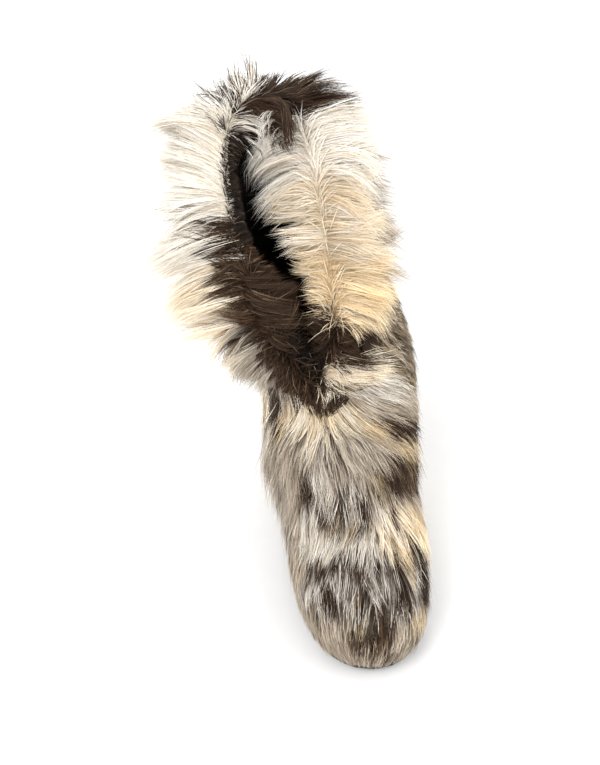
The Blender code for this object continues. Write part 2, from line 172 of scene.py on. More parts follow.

# Colours are linear. Each coat lists kinds of hair as (share, colour near the root, colour at the tip).
# The darker colour near the root is partly the hair's own and partly painted shade deep in the fur.
COATS = {
    "white": (
        (0.72, (0.82, 0.74, 0.62), (0.97, 0.93, 0.86)),
        (0.25, (0.72, 0.61, 0.47), (0.95, 0.87, 0.75)),
        (0.03, (0.42, 0.34, 0.26), (0.80, 0.72, 0.62)),
    ),
    "ivory": (
        (0.70, (0.56, 0.50, 0.42), (0.92, 0.87, 0.78)),
        (0.22, (0.34, 0.28, 0.22), (0.68, 0.60, 0.50)),
        (0.08, (0.12, 0.090, 0.065), (0.30, 0.24, 0.18)),
    ),
    "honey": (
        (0.62, (0.46, 0.33, 0.18), (0.80, 0.62, 0.38)),
        (0.26, (0.44, 0.35, 0.23), (0.80, 0.70, 0.53)),
        (0.12, (0.13, 0.085, 0.050), (0.34, 0.23, 0.13)),
    ),
    "cream": (
        (0.56, (0.78, 0.63, 0.43), (0.97, 0.84, 0.64)),
        (0.40, (0.74, 0.63, 0.48), (0.97, 0.90, 0.79)),
        (0.04, (0.30, 0.22, 0.15), (0.68, 0.54, 0.38)),
    ),
    "yellow": (
        (0.64, (0.74, 0.54, 0.31), (0.97, 0.79, 0.52)),
        (0.31, (0.72, 0.57, 0.38), (0.97, 0.87, 0.68)),
        (0.05, (0.24, 0.16, 0.10), (0.50, 0.35, 0.21)),
    ),
    "beige": (
        (0.46, (0.26, 0.20, 0.145), (0.58, 0.485, 0.375)),
        (0.34, (0.17, 0.13, 0.095), (0.44, 0.36, 0.28)),
        (0.20, (0.30, 0.235, 0.17), (0.75, 0.65, 0.52)),
    ),
    "smooth": (
        (0.60, (0.33, 0.28, 0.22), (0.59, 0.52, 0.43)),
        (0.30, (0.25, 0.21, 0.165), (0.48, 0.415, 0.34)),
        (0.10, (0.14, 0.11, 0.085), (0.32, 0.26, 0.21)),
    ),
    "pale": (
        (0.50, (0.32, 0.265, 0.20), (0.73, 0.64, 0.525)),
        (0.32, (0.20, 0.16, 0.12), (0.53, 0.45, 0.36)),
        (0.18, (0.09, 0.07, 0.06), (0.30, 0.24, 0.19)),
    ),
    "streaked": (
        (0.30, (0.050, 0.034, 0.022), (0.170, 0.120, 0.080)),
        (0.30, (0.26, 0.205, 0.15), (0.58, 0.50, 0.41)),
        (0.40, (0.38, 0.32, 0.26), (0.87, 0.81, 0.73)),
    ),
    "grey": (
        (0.28, (0.045, 0.034, 0.026), (0.13, 0.100, 0.075)),
        (0.30, (0.14, 0.115, 0.095), (0.46, 0.41, 0.36)),
        (0.42, (0.23, 0.185, 0.14), (0.80, 0.74, 0.66)),
    ),
    "agouti": (
        (0.44, (0.035, 0.026, 0.018), (0.10, 0.072, 0.046)),
        (0.31, (0.11, 0.080, 0.048), (0.38, 0.28, 0.16)),
        (0.25, (0.20, 0.16, 0.11), (0.66, 0.56, 0.43)),
    ),
    "brown": (
        (0.70, (0.016, 0.010, 0.007), (0.044, 0.025, 0.015)),
        (0.25, (0.034, 0.020, 0.012), (0.100, 0.058, 0.033)),
        (0.05, (0.080, 0.052, 0.032), (0.300, 0.205, 0.125)),
    ),
    "tipped": (
        (0.66, (0.040, 0.024, 0.016), (0.90, 0.81, 0.67)),
        (0.22, (0.080, 0.052, 0.034), (0.84, 0.72, 0.56)),
        (0.12, (0.025, 0.016, 0.011), (0.10, 0.062, 0.040)),
    ),
    # Near-black hair inside the opening: partly dark hair, partly painted shade of the boot's inside.
    "black_and_shade": (
        (0.80, (0.008, 0.006, 0.005), (0.022, 0.016, 0.012)),
        (0.17, (0.018, 0.013, 0.010), (0.060, 0.042, 0.030)),
        (0.03, (0.05, 0.035, 0.025), (0.22, 0.16, 0.11)),
    ),
}
COAT_NUMBERS = {name: number for number, name in enumerate(COATS)}

# Markings that face up or forward, on a flat chart that looks down at the boot from above its toe.
# Each is a coat, its centre across and up the chart, its half sizes and its turn, in mm and degrees.
# Later ones lie over earlier ones.
CHART_TILT = 50
CHART_EDGE = -0.15  # a surface that faces away from the chart by more than this isn't on it
FRONT_MARKINGS = (
    ("smooth", -70, 50, 32, 66, 0),
    ("smooth", -52, -57, 10, 43, 0),
    ("agouti", 56, 60, 30, 70, 0),
    ("streaked", 0, -40, 34, 34, 0),
    ("grey", 14, -114, 54, 27, 0),
    ("beige", 4, -158, 44, 24, 0),
    ("cream", -57, 30, 4, 24, 0),
    ("brown", -50, 22, 5, 22, 5),
    ("pale", -27, -2, 23, 22, 0),
    ("honey", -33, 14, 17, 13, 0),
    ("pale", 10, -12, 20, 24, 0),
    ("honey", 7, 24, 14, 17, 20),
    ("cream", -21, 14, 22, 24, 0),
    ("cream", 6, 20, 18, 17, 0),
    ("brown", -9, 0, 1.5, 7, 15),
    ("honey", -12, 30, 12, 16, 0),
    ("brown", 17, 76, 15, 17, 0),
    ("beige", 38, 26, 26, 13, 0),
    ("ivory", 31, 38, 24, 11, -8),
    ("brown", 47, 5, 20, 8, 0),
    ("honey", 25, 6, 10, 8, 0),
    ("honey", 50, -10, 11, 6, 0),
    ("agouti", 27, -38, 12, 13, 0),
    ("brown", 51, -31, 22, 15, 0),
    ("brown", -31, -40, 5, 12, 0),
    ("brown", -19, -60, 5, 12, 40),
    ("agouti", 3, -67, 19, 7, 0),
    ("brown", -4, -48, 2.5, 9, 0),
    ("brown", 12, -54, 2.5, 9, 0),
    ("ivory", -30, -71, 9, 19, 0),
    ("ivory", -9, -82, 16, 9, 0),
    ("ivory", 13, -82, 14, 9, 0),
    ("honey", 45, -76, 24, 19, 0),
    ("cream", 40, -70, 20, 15, 0),
    ("yellow", 55, -72, 10, 14, 0),
    ("brown", 37, -62, 2.5, 8, 0),
    ("honey", 46, -101, 3, 10, 0),
    ("black_and_shade", 52, -89, 5, 6, 0),
    ("brown", -25, -96, 6, 6, 0),
    ("brown", -10, -98, 4, 7, 0),
    ("brown", 6, -98, 6, 6, 0),
    ("brown", 24, -99, 3, 6, 0),
    ("brown", 38, -99, 3, 7, 0),
    ("brown", -16, -121, 7, 9, 0),
    ("brown", 6, -123, 4, 10, 0),
    ("brown", 22, -127, 4, 8, 0),
    ("brown", 39, -121, 6, 11, 0),
    ("brown", 57, -114, 5, 17, 0),
    ("agouti", 14, -149, 20, 14, 0),
    ("brown", 23, -146, 8, 13, -20),
    ("brown", 4, -152, 3, 10, 0),
    ("brown", 13, -156, 2.5, 8, 0),
    ("beige", 38, -160, 10, 9, 0),
    ("brown", 26, -165, 4, 5, 0),
    ("honey", 49, -143, 5, 9, -25),
    ("brown", 49, -154, 5, 3, 0),
)
# Places where the hair is combed aside, on the same chart: centre, reach and turn towards the inner side.
COMB_TURNS = (
    (24, 34, 34, 0.95),
    (55, 10, 26, 0.60),
    (45, -60, 24, 0.35),
    (-30, 10, 20, -0.30),
    (-30, -60, 16, 0.25),
    (10, -5, 20, 0.20),
    (20, -155, 22, -0.25),
    (60, 70, 36, 0.45),
)
# Markings that face back: coat, centre, reach along each axis, in mm.
BACK_MARKINGS = (
    ("smooth", (-60, -40, 80), (34, 90, 80)),
    ("pale", (0, 60, 110), (50, 60, 46)),
    ("agouti", (48, 0, 150), (40, 60, 110)),
    ("grey", (-20, 60, 40), (60, 50, 34)),
    ("white", (-62, 16, 200), (24, 44, 44)),
    ("agouti", (-14, 60, 190), (36, 44, 62)),
    ("brown", (0, 60, 226), (30, 44, 36)),
    ("beige", (44, 10, 70), (24, 50, 22)),
    ("brown", (44, -20, 46), (24, 28, 14)),
    ("cream", (50, -50, 26), (20, 22, 16)),
    ("brown", (-54, 18, 40), (20, 22, 18)),
)
BASE_COAT = "beige"
MARKING_BLUR = 1.7  # how far a marking's edge strays, in mm

# Coats along the rim, from the throat up the inner side, round the back and down the outer side.
# Each row is the share of the rim where the coat starts, and its name.
OUTER_RIM_COATS = (
    (0.000, "brown"), (0.022, "cream"), (0.058, "brown"), (0.122, "yellow"), (0.215, "cream"),
    (0.330, "white"), (0.425, "brown"), (0.512, "white"), (0.530, "brown"), (0.546, "white"),
    (0.705, "brown"),
)
# The near-black rows, inside the opening, are partly dark hair and partly painted shade of the boot's
# inside.
INNER_RIM_COATS = (
    (0.000, "black_and_shade"), (0.060, "brown"), (0.135, "yellow"), (0.230, "cream"), (0.330, "white"),
    (0.430, "brown"), (0.552, "white"), (0.572, "black_and_shade"), (0.740, "brown"), (0.900, "black_and_shade"),
)
RIM_COAT_BLUR = 0.006  # how far along the rim a coat's edge strays

# Where the rim's outer hair is in two layers: share where it starts and ends, the depth under the rim
# in mm where the under layer starts, its coat, and how long the top and the under layer are.
RIM_LAYERS = (
    # The first row's pale under layer greys the far edge of the inner side's collar: partly grey hair,
    # partly painted shade where that edge turns from the light.
    (0.200, 0.412, 9, "pale", 0.86, 1.14),
    (0.425, 0.506, 8, "pale", 0.82, 1.25),
    (0.530, 0.546, 8, "white", 0.82, 1.20),
    (0.700, 0.770, 2.0, "white", 0.52, 1.20),
    (0.770, 0.850, 2.2, "cream", 0.58, 1.20),
    (0.850, 0.890, 2.8, "tipped", 0.66, 1.16),
    (0.890, 0.950, 2.5, "smooth", 0.70, 1.20),
)

# How the rim's hair is thrown, row by row along the rim. Each row is the share of the rim, then the
# length in mm and the sway along each axis outside, and the same inside.
RIM_THROWS = (
    (0.000, 14, 0.0, 0.0, 0.2, 34, 0.0, -0.6, 0.9),
    (0.030, 34, 1.2, 0.2, 0.3, 34, 0.2, -0.4, 0.9),
    (0.048, 58, 1.9, 0.3, 0.3, 34, 0.3, -0.2, 0.9),
    (0.064, 34, 1.0, 0.1, 0.1, 34, 0.3, 0.0, 0.8),
    (0.080, 22, 0.1, 0.0, 0.1, 32, 0.3, 0.0, 0.7),
    (0.115, 24, 0.0, 0.0, 0.0, 28, 0.1, 0.0, 0.5),
    (0.135, 40, 0.0, 0.0, 0.0, 28, 0.0, 0.0, 0.3),
    (0.160, 52, 0.0, 0.0, 0.0, 30, 0.0, 0.0, 0.1),
    (0.200, 62, 0.0, 0.0, 0.0, 38, 0.0, 0.0, 0.0),
    (0.250, 65, 0.0, 0.0, 0.0, 45, 0.0, 0.0, 0.0),
    (0.300, 68, 0.2, 0.1, 0.0, 54, 0.0, 0.0, 0.0),
    (0.350, 72, 0.35, 0.3, 0.2, 60, 0.0, 0.0, 0.0),
    (0.368, 82, 0.6, 0.55, 0.4, 62, 0.0, 0.1, 0.1),
    (0.390, 74, 0.9, 0.3, 0.15, 64, -0.1, 0.25, 0.2),
    (0.408, 68, 1.1, 0.3, 0.15, 58, -0.2, 0.30, 0.3),
    (0.430, 66, 1.2, 0.3, 0.2, 46, 0.4, 0.5, 0.5),
    (0.470, 64, 1.2, 0.3, 0.25, 44, 0.7, 0.5, 0.7),
    (0.500, 56, 0.9, 0.3, 0.35, 44, 0.7, 0.6, 0.8),
    (0.520, 50, 0.5, 0.3, 0.5, 42, 0.7, 0.6, 0.8),
    (0.540, 50, 0.3, 0.3, 0.6, 40, 0.7, 0.7, 0.9),
    (0.553, 66, -1.2, 0.7, 0.7, 48, 0.7, 0.9, 0.6),
    (0.568, 82, -2.3, 1.4, 0.8, 54, 0.7, 1.1, 0.7),
    (0.577, 90, -2.6, 1.9, 0.9, 22, 0.4, 0.5, 0.4),
    (0.592, 96, -1.9, 2.3, 0.9, 10, 0.0, 0.0, 0.0),
    (0.620, 92, -1.8, 2.3, 0.9, 6, 0.0, 0.0, 0.0),
    (0.650, 84, -1.0, 0.9, 0.4, 6, 0.0, 0.0, 0.0),
    (0.680, 76, -0.5, 0.05, 0.1, 6, 0.0, 0.0, 0.0),
    (0.720, 70, -0.3, 0.0, 0.0, 6, 0.0, 0.0, 0.0),
    (0.760, 69, -0.3, 0.0, 0.0, 12, 0.0, 0.0, 0.0),
    (0.800, 68, -0.3, 0.0, 0.0, 24, 0.0, 0.0, 0.2),
    (0.850, 66, -0.3, 0.0, 0.0, 32, 0.1, 0.0, 0.5),
    (0.885, 54, -0.2, 0.0, 0.0, 36, 0.1, 0.0, 0.7),
    (0.905, 44, -0.2, 0.0, 0.0, 36, 0.1, 0.0, 0.7),
    (0.925, 36, -0.2, 0.0, -0.1, 36, 0.1, -0.1, 0.8),
    (0.945, 24, -0.1, 0.0, 0.0, 36, 0.1, -0.3, 0.8),
    (0.965, 15, 0.0, 0.0, 0.2, 36, 0.0, -0.4, 0.9),
    (1.000, 14, 0.0, 0.0, 0.2, 34, 0.0, -0.6, 0.9),
)
LONG_TOP_SHARE = 0.14  # of the top layer's locks that are nearly full length, as streaks

# The short hair that stands on the rim itself.
RIDGE_LENGTH = 23 * MM
RIDGE_LENGTH_SPREAD = (0.6, 1.2)
LEAST_RIDGE = 9  # no ridge hair is held shorter than this, in mm
INNER_LEAN = -0.2  # ridge hair that leans further in takes the inner hair's coat
RIDGE_SCATTER = 0.6 * MM
RIDGE_ACROSS = (-0.0028, 0.0015)  # how far its roots lie over the rim, in metres
RIDGE_UP = (0.0005, 0.0025)
RIDGE_UNRULY = (0.05, 0.34)  # everywhere, and how much is added at the throat
RIDGE_RISE = (0.18, 0.3)  # the same
RIDGE_WAVES = ((0.15, 230, 37),)
RIDGE_SWAY = 0.6  # of the long hair's sway
RIDGE_CURL = 1.5
RIDGE_DROOP = 0.9
RIDGE_STEPS = 3
RIDGE_SHADES = 0.08
RIDGE_TURN = (0.1, 0.4)

# Where the short hair is longer and stands prouder, on the markings' chart: centre and reach, then
# the extra length and the extra rise, in mm.
LONG_TUFTS = (
    (-32, 12, 20, 12, 7.0),
    (7, 26, 16, 12, 6.0),
    (34, 36, 22, 10, 3.0),
    (36, 4, 18, 9, 3.0),
    (-62, 30, 44, 16, 9.0),
    (-52, -10, 26, 8, 4.0),
    (48, -60, 24, 5, 1.5),
)

# The random draws of each piece start from its own seed.
SEEDS = {
    "underfur": 3,
    "vamp_hair": 21,
    "shaft_hair": 22,
    "collar_hair": 23,
    "lining_hair": 24,
    "collar_guard_hair": 25,
    "ridge_hair": 26,
}

# Materials. The scales of noises are waves to a metre.
NOISE_MIDDLE = (0.3, 0.7)  # the range that nearly all of a noise lies in
BUMP_STRENGTH = 0.6
COAT_GLOSS = 0.12
COAT_DETAIL = 2
ROUGHNESS_SPREAD = 0.1
RUBBER_ROUGHNESS = 0.7
PEBBLE_SCALE = 700
PEBBLE_RELIEF = 0.25 * MM
DUST_SCALE = 60
DUST_DETAIL = 4
DUST_TONE = 1.8
DUST_PALENESS = 0.01
DUSTY_ROUGHNESS = (0.58, 0.85)


class ShortGrowth:
    """How short hairs follow their guides and how alike they are."""

    hairs_per_guide = 14
    guide_steps = 4
    locks = ((9, 0.42),)  # guides to a lock and how far they are drawn together, row by row
    points = 4
    clump = 0.62  # how far hairs come together towards their tips
    stray = 0.07  # how far tips stray, as a share of the length
    shortest = 0.6  # as a share of the guide's length
    alike = 0.72  # the share of a lock's hairs that are of one kind
    hair_shades = 0.10
    lock_shades = 0.08
    turn = (0.25, 0.55)  # the shares of the length between which the colour turns


class LongGrowth:
    """The same for the rim's long hairs."""

    hairs_per_guide = 16
    guide_steps = 6
    locks = ((5, 0.45), (26, 0.5))
    points = 6
    clump = 0.72
    stray = 0.055
    shortest = 0.5
    alike = 0.5
    hair_shades = 0.07
    lock_shades = 0.05
    turn = (0.15, 0.45)


def smooth_step(value, start, end):
    """0 before start, 1 after end, and a soft ramp between them."""
    ramp = np.clip((value - start) / (end - start), 0, 1)
    return ramp * ramp * (3 - 2 * ramp)


def unit(vectors):
    """The same directions with length one."""
    return vectors / np.maximum(np.linalg.norm(vectors, axis=-1, keepdims=True), LEAST_LENGTH)


def along(vectors, normals):
    """The part of each vector that lies along the surface."""
    return vectors - (vectors * normals).sum(-1, keepdims=True) * normals


class Skin:
    """A triangle surface with smooth normals that hair can be rooted on and laid over."""

    def __init__(self, points, triangles):
        self.points = points
        self.triangles = triangles
        corner = points[triangles]
        cross = np.cross(corner[:, 1] - corner[:, 0], corner[:, 2] - corner[:, 0])
        self.areas = np.linalg.norm(cross, axis=1) / 2
        self.normals = np.zeros_like(points)
        for side in range(3):
            np.add.at(self.normals, triangles[:, side], cross)
        self.normals = unit(self.normals)
        self.tree = BVHTree.FromPolygons(points.tolist(), triangles.tolist())

    def scatter(self, count, rng, weights=None):
        """Random places on the surface: points, normals."""
        odds = self.areas if weights is None else self.areas * weights
        chosen = rng.choice(len(self.triangles), count, p=odds / odds.sum())
        first, second = rng.random(count), rng.random(count)
        folded = first + second > 1
        first[folded], second[folded] = 1 - first[folded], 1 - second[folded]
        shares = np.stack([1 - first - second, first, second], axis=1)[..., None]
        corners = self.triangles[chosen]
        places = (self.points[corners] * shares).sum(1)
        return places, unit((self.normals[corners] * shares).sum(1))

    def nearest(self, places):
        """For each place, the nearest point of the surface and its smooth normal."""
        found = np.empty_like(places)
        normals = np.empty_like(places)
        for row, place in enumerate(places):
            spot, _, index, _ = self.tree.find_nearest(place)
            found[row] = spot
            corners = self.triangles[index]
            gaps = np.linalg.norm(self.points[corners] - found[row], axis=1)
            weight = 1 / (gaps + HAIRBREADTH)
            normals[row] = (self.normals[corners] * weight[:, None]).sum(0)
        return found, unit(normals)


def welded_hide():
    """A bmesh copy of the hide with its doubled corners joined."""
    mesh = bmesh.new()
    mesh.from_mesh(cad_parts["upper"].data)
    bmesh.ops.remove_doubles(mesh, verts=mesh.verts, dist=WELD_DISTANCE)
    mesh.verts.index_update()
    mesh.faces.index_update()
    mesh.normal_update()
    return mesh


def spread_from(start, allowed):
    """Every allowed face that can be reached from the start without leaving the allowed ones."""
    found, waiting = {start}, [start]
    while waiting:
        for edge in waiting.pop().edges:
            for face in edge.link_faces:
                if face in allowed and face not in found:
                    found.add(face)
                    waiting.append(face)
    return found


def hide_walls(mesh):
    """The faces of the hide's outer wall, inner wall and top edge."""
    tree = BVHTree.FromBMesh(mesh)
    walls, edges = set(), set()
    for face in mesh.faces:
        centre = face.calc_center_median()
        _, facing, _, distance = tree.ray_cast(centre - face.normal * HAIRBREADTH, -face.normal)
        near = distance is not None and distance < WALL_REACH
        backed = near and facing.dot(face.normal) < WALL_FACING
        (walls if backed else edges).add(face)
    foremost = min(walls, key=lambda face: face.calc_center_median().y)
    outer = spread_from(foremost, walls)
    inner = walls - outer
    top = {face for face in edges if face.calc_center_median().z > SHAFT_HEIGHT}
    return outer, inner, top


def smooth_skin(faces):
    """The faces as a smooth closely divided surface."""
    kept = sorted(faces, key=lambda face: face.index)
    corners = sorted({vert for face in kept for vert in face.verts}, key=lambda vert: vert.index)
    place = {vert: row for row, vert in enumerate(corners)}
    data = bpy.data.meshes.new("skin_source")
    data.from_pydata([vert.co for vert in corners], [], [[place[v] for v in f.verts] for f in kept])
    mesh = bmesh.new()
    mesh.from_mesh(data)
    bmesh.ops.join_triangles(
        mesh, faces=mesh.faces, angle_face_threshold=math.pi, angle_shape_threshold=math.pi
    )
    mesh.to_mesh(data)
    mesh.free()
    holder = bpy.data.objects.new("skin_source", data)
    bpy.context.scene.collection.objects.link(holder)
    divide = holder.modifiers.new("Divide", "SUBSURF")
    divide.levels = divide.render_levels = SMOOTHING_LEVELS
    graph = bpy.context.evaluated_depsgraph_get()
    smooth = holder.evaluated_get(graph).to_mesh()
    smooth.calc_loop_triangles()
    points = np.empty(len(smooth.vertices) * 3)
    smooth.vertices.foreach_get("co", points)
    triangles = np.empty(len(smooth.loop_triangles) * 3, int)
    smooth.loop_triangles.foreach_get("vertices", triangles)
    holder.evaluated_get(graph).to_mesh_clear()
    bpy.data.objects.remove(holder)
    bpy.data.meshes.remove(data)
    return Skin(points.reshape(-1, 3), triangles.reshape(-1, 3))


def rim_line(mesh, outer, top):
    """The rim as evenly spaced points, from the throat up the inner side and round."""
    links = {}
    for face in outer:
        for edge in face.edges:
            if any(other in top for other in edge.link_faces):
                first, second = edge.verts
                links.setdefault(first.index, set()).add(second.index)
                links.setdefault(second.index, set()).add(first.index)
    mesh.verts.ensure_lookup_table()
    spots = {index: mesh.verts[index].co for index in links}
    before = min(links, key=lambda index: spots[index].z)
    line = [before]
    here = max(links[before], key=lambda index: spots[index].x)
    while here != line[0] and len(line) < len(links):
        line.append(here)
        before, here = here, next(iter(links[here] - {before}))
    line = [spots[index] for index in line]
    corners = np.array(line + line[:1])
    steps = np.linalg.norm(np.diff(corners, axis=0), axis=1)
    walked = np.concatenate([[0], np.cumsum(steps)])
    count = int(walked[-1] / RIM_STEP)
    places = np.linspace(0, walked[-1], count, endpoint=False)
    return np.stack([np.interp(places, walked, corners[:, axis]) for axis in range(3)], axis=1)


class Boot:
    """What the hair is rooted on: the hide's walls and its rim."""

    def __init__(self):
        mesh = welded_hide()
        outer, inner, top = hide_walls(mesh)
        self.rim = rim_line(mesh, outer, top)
        self.outer = smooth_skin(outer)
        self.inner = smooth_skin(inner)
        self.over_rim = smooth_skin(outer | inner | top)
        mesh.free()
        self.rim_tree = KDTree(len(self.rim))
        for row, spot in enumerate(self.rim):
            self.rim_tree.insert(spot, row)
        self.rim_tree.balance()

    def rim_places(self, places):
        """For each place, its distance from the rim and the share of the rim that is nearest."""
        found = [self.rim_tree.find(place)[1:] for place in places]
        rows, gaps = np.array(found).T
        return gaps, rows / len(self.rim)


@functools.cache
def hide():
    """The boot's walls and rim, found once."""
    return Boot()


class Coats:
    """Hair colours by coat number: a root colour and a tip colour for each hair."""

    def __init__(self, colours):
        tints = [np.array(getattr(colours, name)) / kinds[0][2] for name, kinds in COATS.items()]
        tints = np.array(tints)[:, None]
        shares, roots, tips = (
            np.array([[kind[part] for kind in kinds] for kinds in COATS.values()]) for part in range(3)
        )
        self.shares, self.roots, self.tips = shares, roots * tints, tips * tints

    def pick(self, coats, draws):
        """Root and tip colours for coats given by number, and draws from 0 to 1."""
        edges = np.cumsum(self.shares, axis=1)[coats]
        kinds = np.minimum((draws[:, None] > edges).sum(1), self.shares.shape[1] - 1)
        return self.roots[coats, kinds], self.tips[coats, kinds]


def swirl(places, scale, seed):
    """A smooth wandering number from about -1 to 1."""
    rng = np.random.default_rng(seed)
    total = np.zeros(len(places))
    for _ in range(SWIRL_WAVES):
        wave = rng.normal(size=3) * scale
        total += np.sin(places @ wave + rng.random() * SWIRL_START)
    return 2 * total / SWIRL_WAVES


def swirled(places, waves):
    """Swirls added up. Each row of waves is an amount, a scale and a seed."""
    return sum(amount * swirl(places, scale, seed) for amount, scale, seed in waves)


def swirled_ways(places, waves):
    """Swirls added up along each axis. Each row is an amount, a scale and the first of three seeds."""
    axes = [[(amount, scale, first + axis) for amount, scale, first in waves] for axis in range(3)]
    return np.stack([swirled(places, rows) for rows in axes], axis=1)


def chart_places(places):
    """Where places lie on the markings' flat chart: across and up, in mm."""
    tilt = math.radians(CHART_TILT)
    up = places[:, 1] * math.sin(tilt) + places[:, 2] * math.cos(tilt)
    return places[:, 0] / MM, up / MM


def faces_chart(normals):
    """True where a surface faces up or forward, as the chart does."""
    tilt = math.radians(CHART_TILT)
    return normals[:, 2] * math.sin(tilt) - normals[:, 1] * math.cos(tilt) > CHART_EDGE


def markings_at(places, normals, rng):
    """The coat of each place on the foot and the shaft, by number, with ragged edges."""
    chosen = np.full(len(places), COAT_NUMBERS[BASE_COAT])
    across, up = chart_places(places)
    front = faces_chart(normals)
    blur = rng.normal(0, MARKING_BLUR, len(places))
    for name, centre, height, wide, tall, turn in FRONT_MARKINGS:
        angle = math.radians(turn)
        right, rise = across - centre, up - height
        turned = right * math.cos(angle) + rise * math.sin(angle)
        risen = rise * math.cos(angle) - right * math.sin(angle)
        distance = np.sqrt((turned / wide) ** 2 + (risen / tall) ** 2) + blur / min(wide, tall)
        chosen[front & (distance < 1)] = COAT_NUMBERS[name]
    for name, centre, reach in BACK_MARKINGS:
        gaps = (places / MM - np.array(centre)) / np.array(reach)
        distance = np.linalg.norm(gaps, axis=1) + blur / min(reach)
        chosen[~front & (distance < 1)] = COAT_NUMBERS[name]
    return chosen


def rim_coats(shares, table, rng):
    """The coat at each share of the rim, by number, with ragged edges."""
    starts = np.array([row[0] for row in table])
    numbers = np.array([COAT_NUMBERS[row[1]] for row in table])
    moved = (shares + rng.normal(0, RIM_COAT_BLUR, len(shares))) % 1.0
    return numbers[np.searchsorted(starts, moved, side="right") - 1]


def near_on_chart(places, centre, height, reach):
    """1 where places lie on a point of the chart, fading to 0 round it."""
    across, up = chart_places(places)
    return np.exp(-((across - centre) ** 2 + (up - height) ** 2) / reach ** 2)


def combed_aside(places, normals):
    """How far the hair is turned towards the inner side at each place by the listed turns."""
    total = np.zeros(len(places))
    for centre, height, reach, turn in COMB_TURNS:
        total += turn * near_on_chart(places, centre, height, reach)
    return total * faces_chart(normals)


def extra_length(places, normals):
    """The extra length and the extra rise of the short hair at each place, in metres."""
    length, rise = np.zeros(len(places)), np.zeros(len(places))
    for centre, height, reach, longer, prouder in LONG_TUFTS:
        near = near_on_chart(places, centre, height, reach) * faces_chart(normals)
        length += longer * near * MM
        rise += prouder * near * MM
    return length, rise


def comb(places, normals, wander):
    """The way short hair lies: towards the toe and down on the foot, down on the shaft."""
    height = smooth_step(places[:, 2] - COMB_SLANT * places[:, 1], *COMB_HEIGHTS)
    forward = FOOT_FORWARD - SHAFT_LOSS * height
    pull = np.stack([np.zeros(len(places)), -forward, -np.ones(len(places))], axis=1)
    lie = unit(along(pull, normals))
    aside = np.cross(lie, normals)
    inwards = aside * np.where(aside[:, :1] < 0, -1.0, 1.0)
    turned = inwards * combed_aside(places, normals)[:, None]
    return unit(lie + aside * wander[:, None] + turned)


def lay_guides(skin, roots, normals, lengths, heights, wander, steps):
    """Guide hairs that lie over the skin: an array of points for each."""
    lines = np.empty((len(roots), steps + 1, 3))
    lines[:, 0] = roots
    here, facing = roots, normals
    for step in range(1, steps + 1):
        way = comb(here, facing, wander)
        ahead = here + way * (lengths / steps)[:, None]
        here, facing = skin.nearest(ahead)
        share = step / steps
        rise = heights * (1.0 - (1.0 - share) ** 2) * (1.0 - LAID_TIP * share)
        lines[:, step] = here + facing * rise[:, None]
    return lines


def throw_guides(skin, roots, ways, lengths, droop, curl, steps):
    """Guide hairs that stand off and fall under their own weight, kept clear of the skin."""
    lines = np.empty((len(roots), steps + 1, 3))
    lines[:, 0] = roots
    here = roots
    way = unit(ways)
    for step in range(1, steps + 1):
        here = here + way * (lengths / steps)[:, None]
        spots, facing = skin.nearest(here)
        proud = ((here - spots) * facing).sum(1)
        wanted = HAIR_CLEAR * min(1.0, step / CLEAR_STEPS)
        here = here + facing * np.clip(wanted - proud, 0, None)[:, None]
        lines[:, step] = here
        way = unit(way + np.array([0, 0, -1.0]) * (droop / steps)[:, None] + curl / steps)
    return lines


def sample_lines(lines, shares):
    """Points at given shares, one row of shares for each line."""
    steps = lines.shape[1] - 1
    place = np.clip(shares, 0, 1) * steps
    low = np.minimum(place.astype(int), steps - 1)
    part = (place - low)[..., None]
    rows = np.arange(len(lines))[:, None]
    return lines[rows, low] * (1 - part) + lines[rows, low + 1] * part


def nearest_guides(guide_roots, roots):
    """The number of the nearest guide for each root."""
    tree = KDTree(len(guide_roots))
    for row, spot in enumerate(guide_roots):
        tree.insert(spot, row)
    tree.balance()
    return np.array([tree.find(spot)[1] for spot in roots])


def gather(lines, locks, rng):
    """Draws each guide's tip towards the tip of a leading neighbour, so locks form."""
    shares = np.linspace(0, 1, lines.shape[1])[None, :, None] ** LOCK_CURVE
    for per_lock, amount in locks:
        leading = rng.choice(len(lines), max(1, len(lines) // per_lock), replace=False)
        leaders = nearest_guides(lines[leading, 0], lines[:, 0])
        lines = lines + (lines[leading][leaders] - lines) * shares * amount
    return lines


def grow_hairs(guides, guide_of, roots, growth, rng):
    """Hairs that follow their guides and come together towards the tips."""
    count = len(roots)
    reach = rng.uniform(growth.shortest, LONGEST_HAIR, count)
    shares = np.linspace(0, 1, growth.points)[None, :] * reach[:, None]
    lines = sample_lines(guides[guide_of], np.minimum(shares, 1.0))
    over = np.maximum(shares - 1.0, 0)[..., None]
    lines += (guides[guide_of][:, -1] - guides[guide_of][:, -2])[:, None] * over * OVERSHOOT
    offset = roots - guides[guide_of][:, 0]
    pulled = 1 - growth.clump * np.clip(shares, 0, 1)[..., None] ** CLUMP_CURVE
    lines += offset[:, None] * pulled
    lengths = np.linalg.norm(guides[:, -1] - guides[:, 0], axis=1)[guide_of]
    stray = rng.normal(0, 1, (count, 3)) * (lengths * growth.stray)[:, None]
    lines += stray[:, None] * (shares[..., None] ** STRAY_CURVE)
    return lines


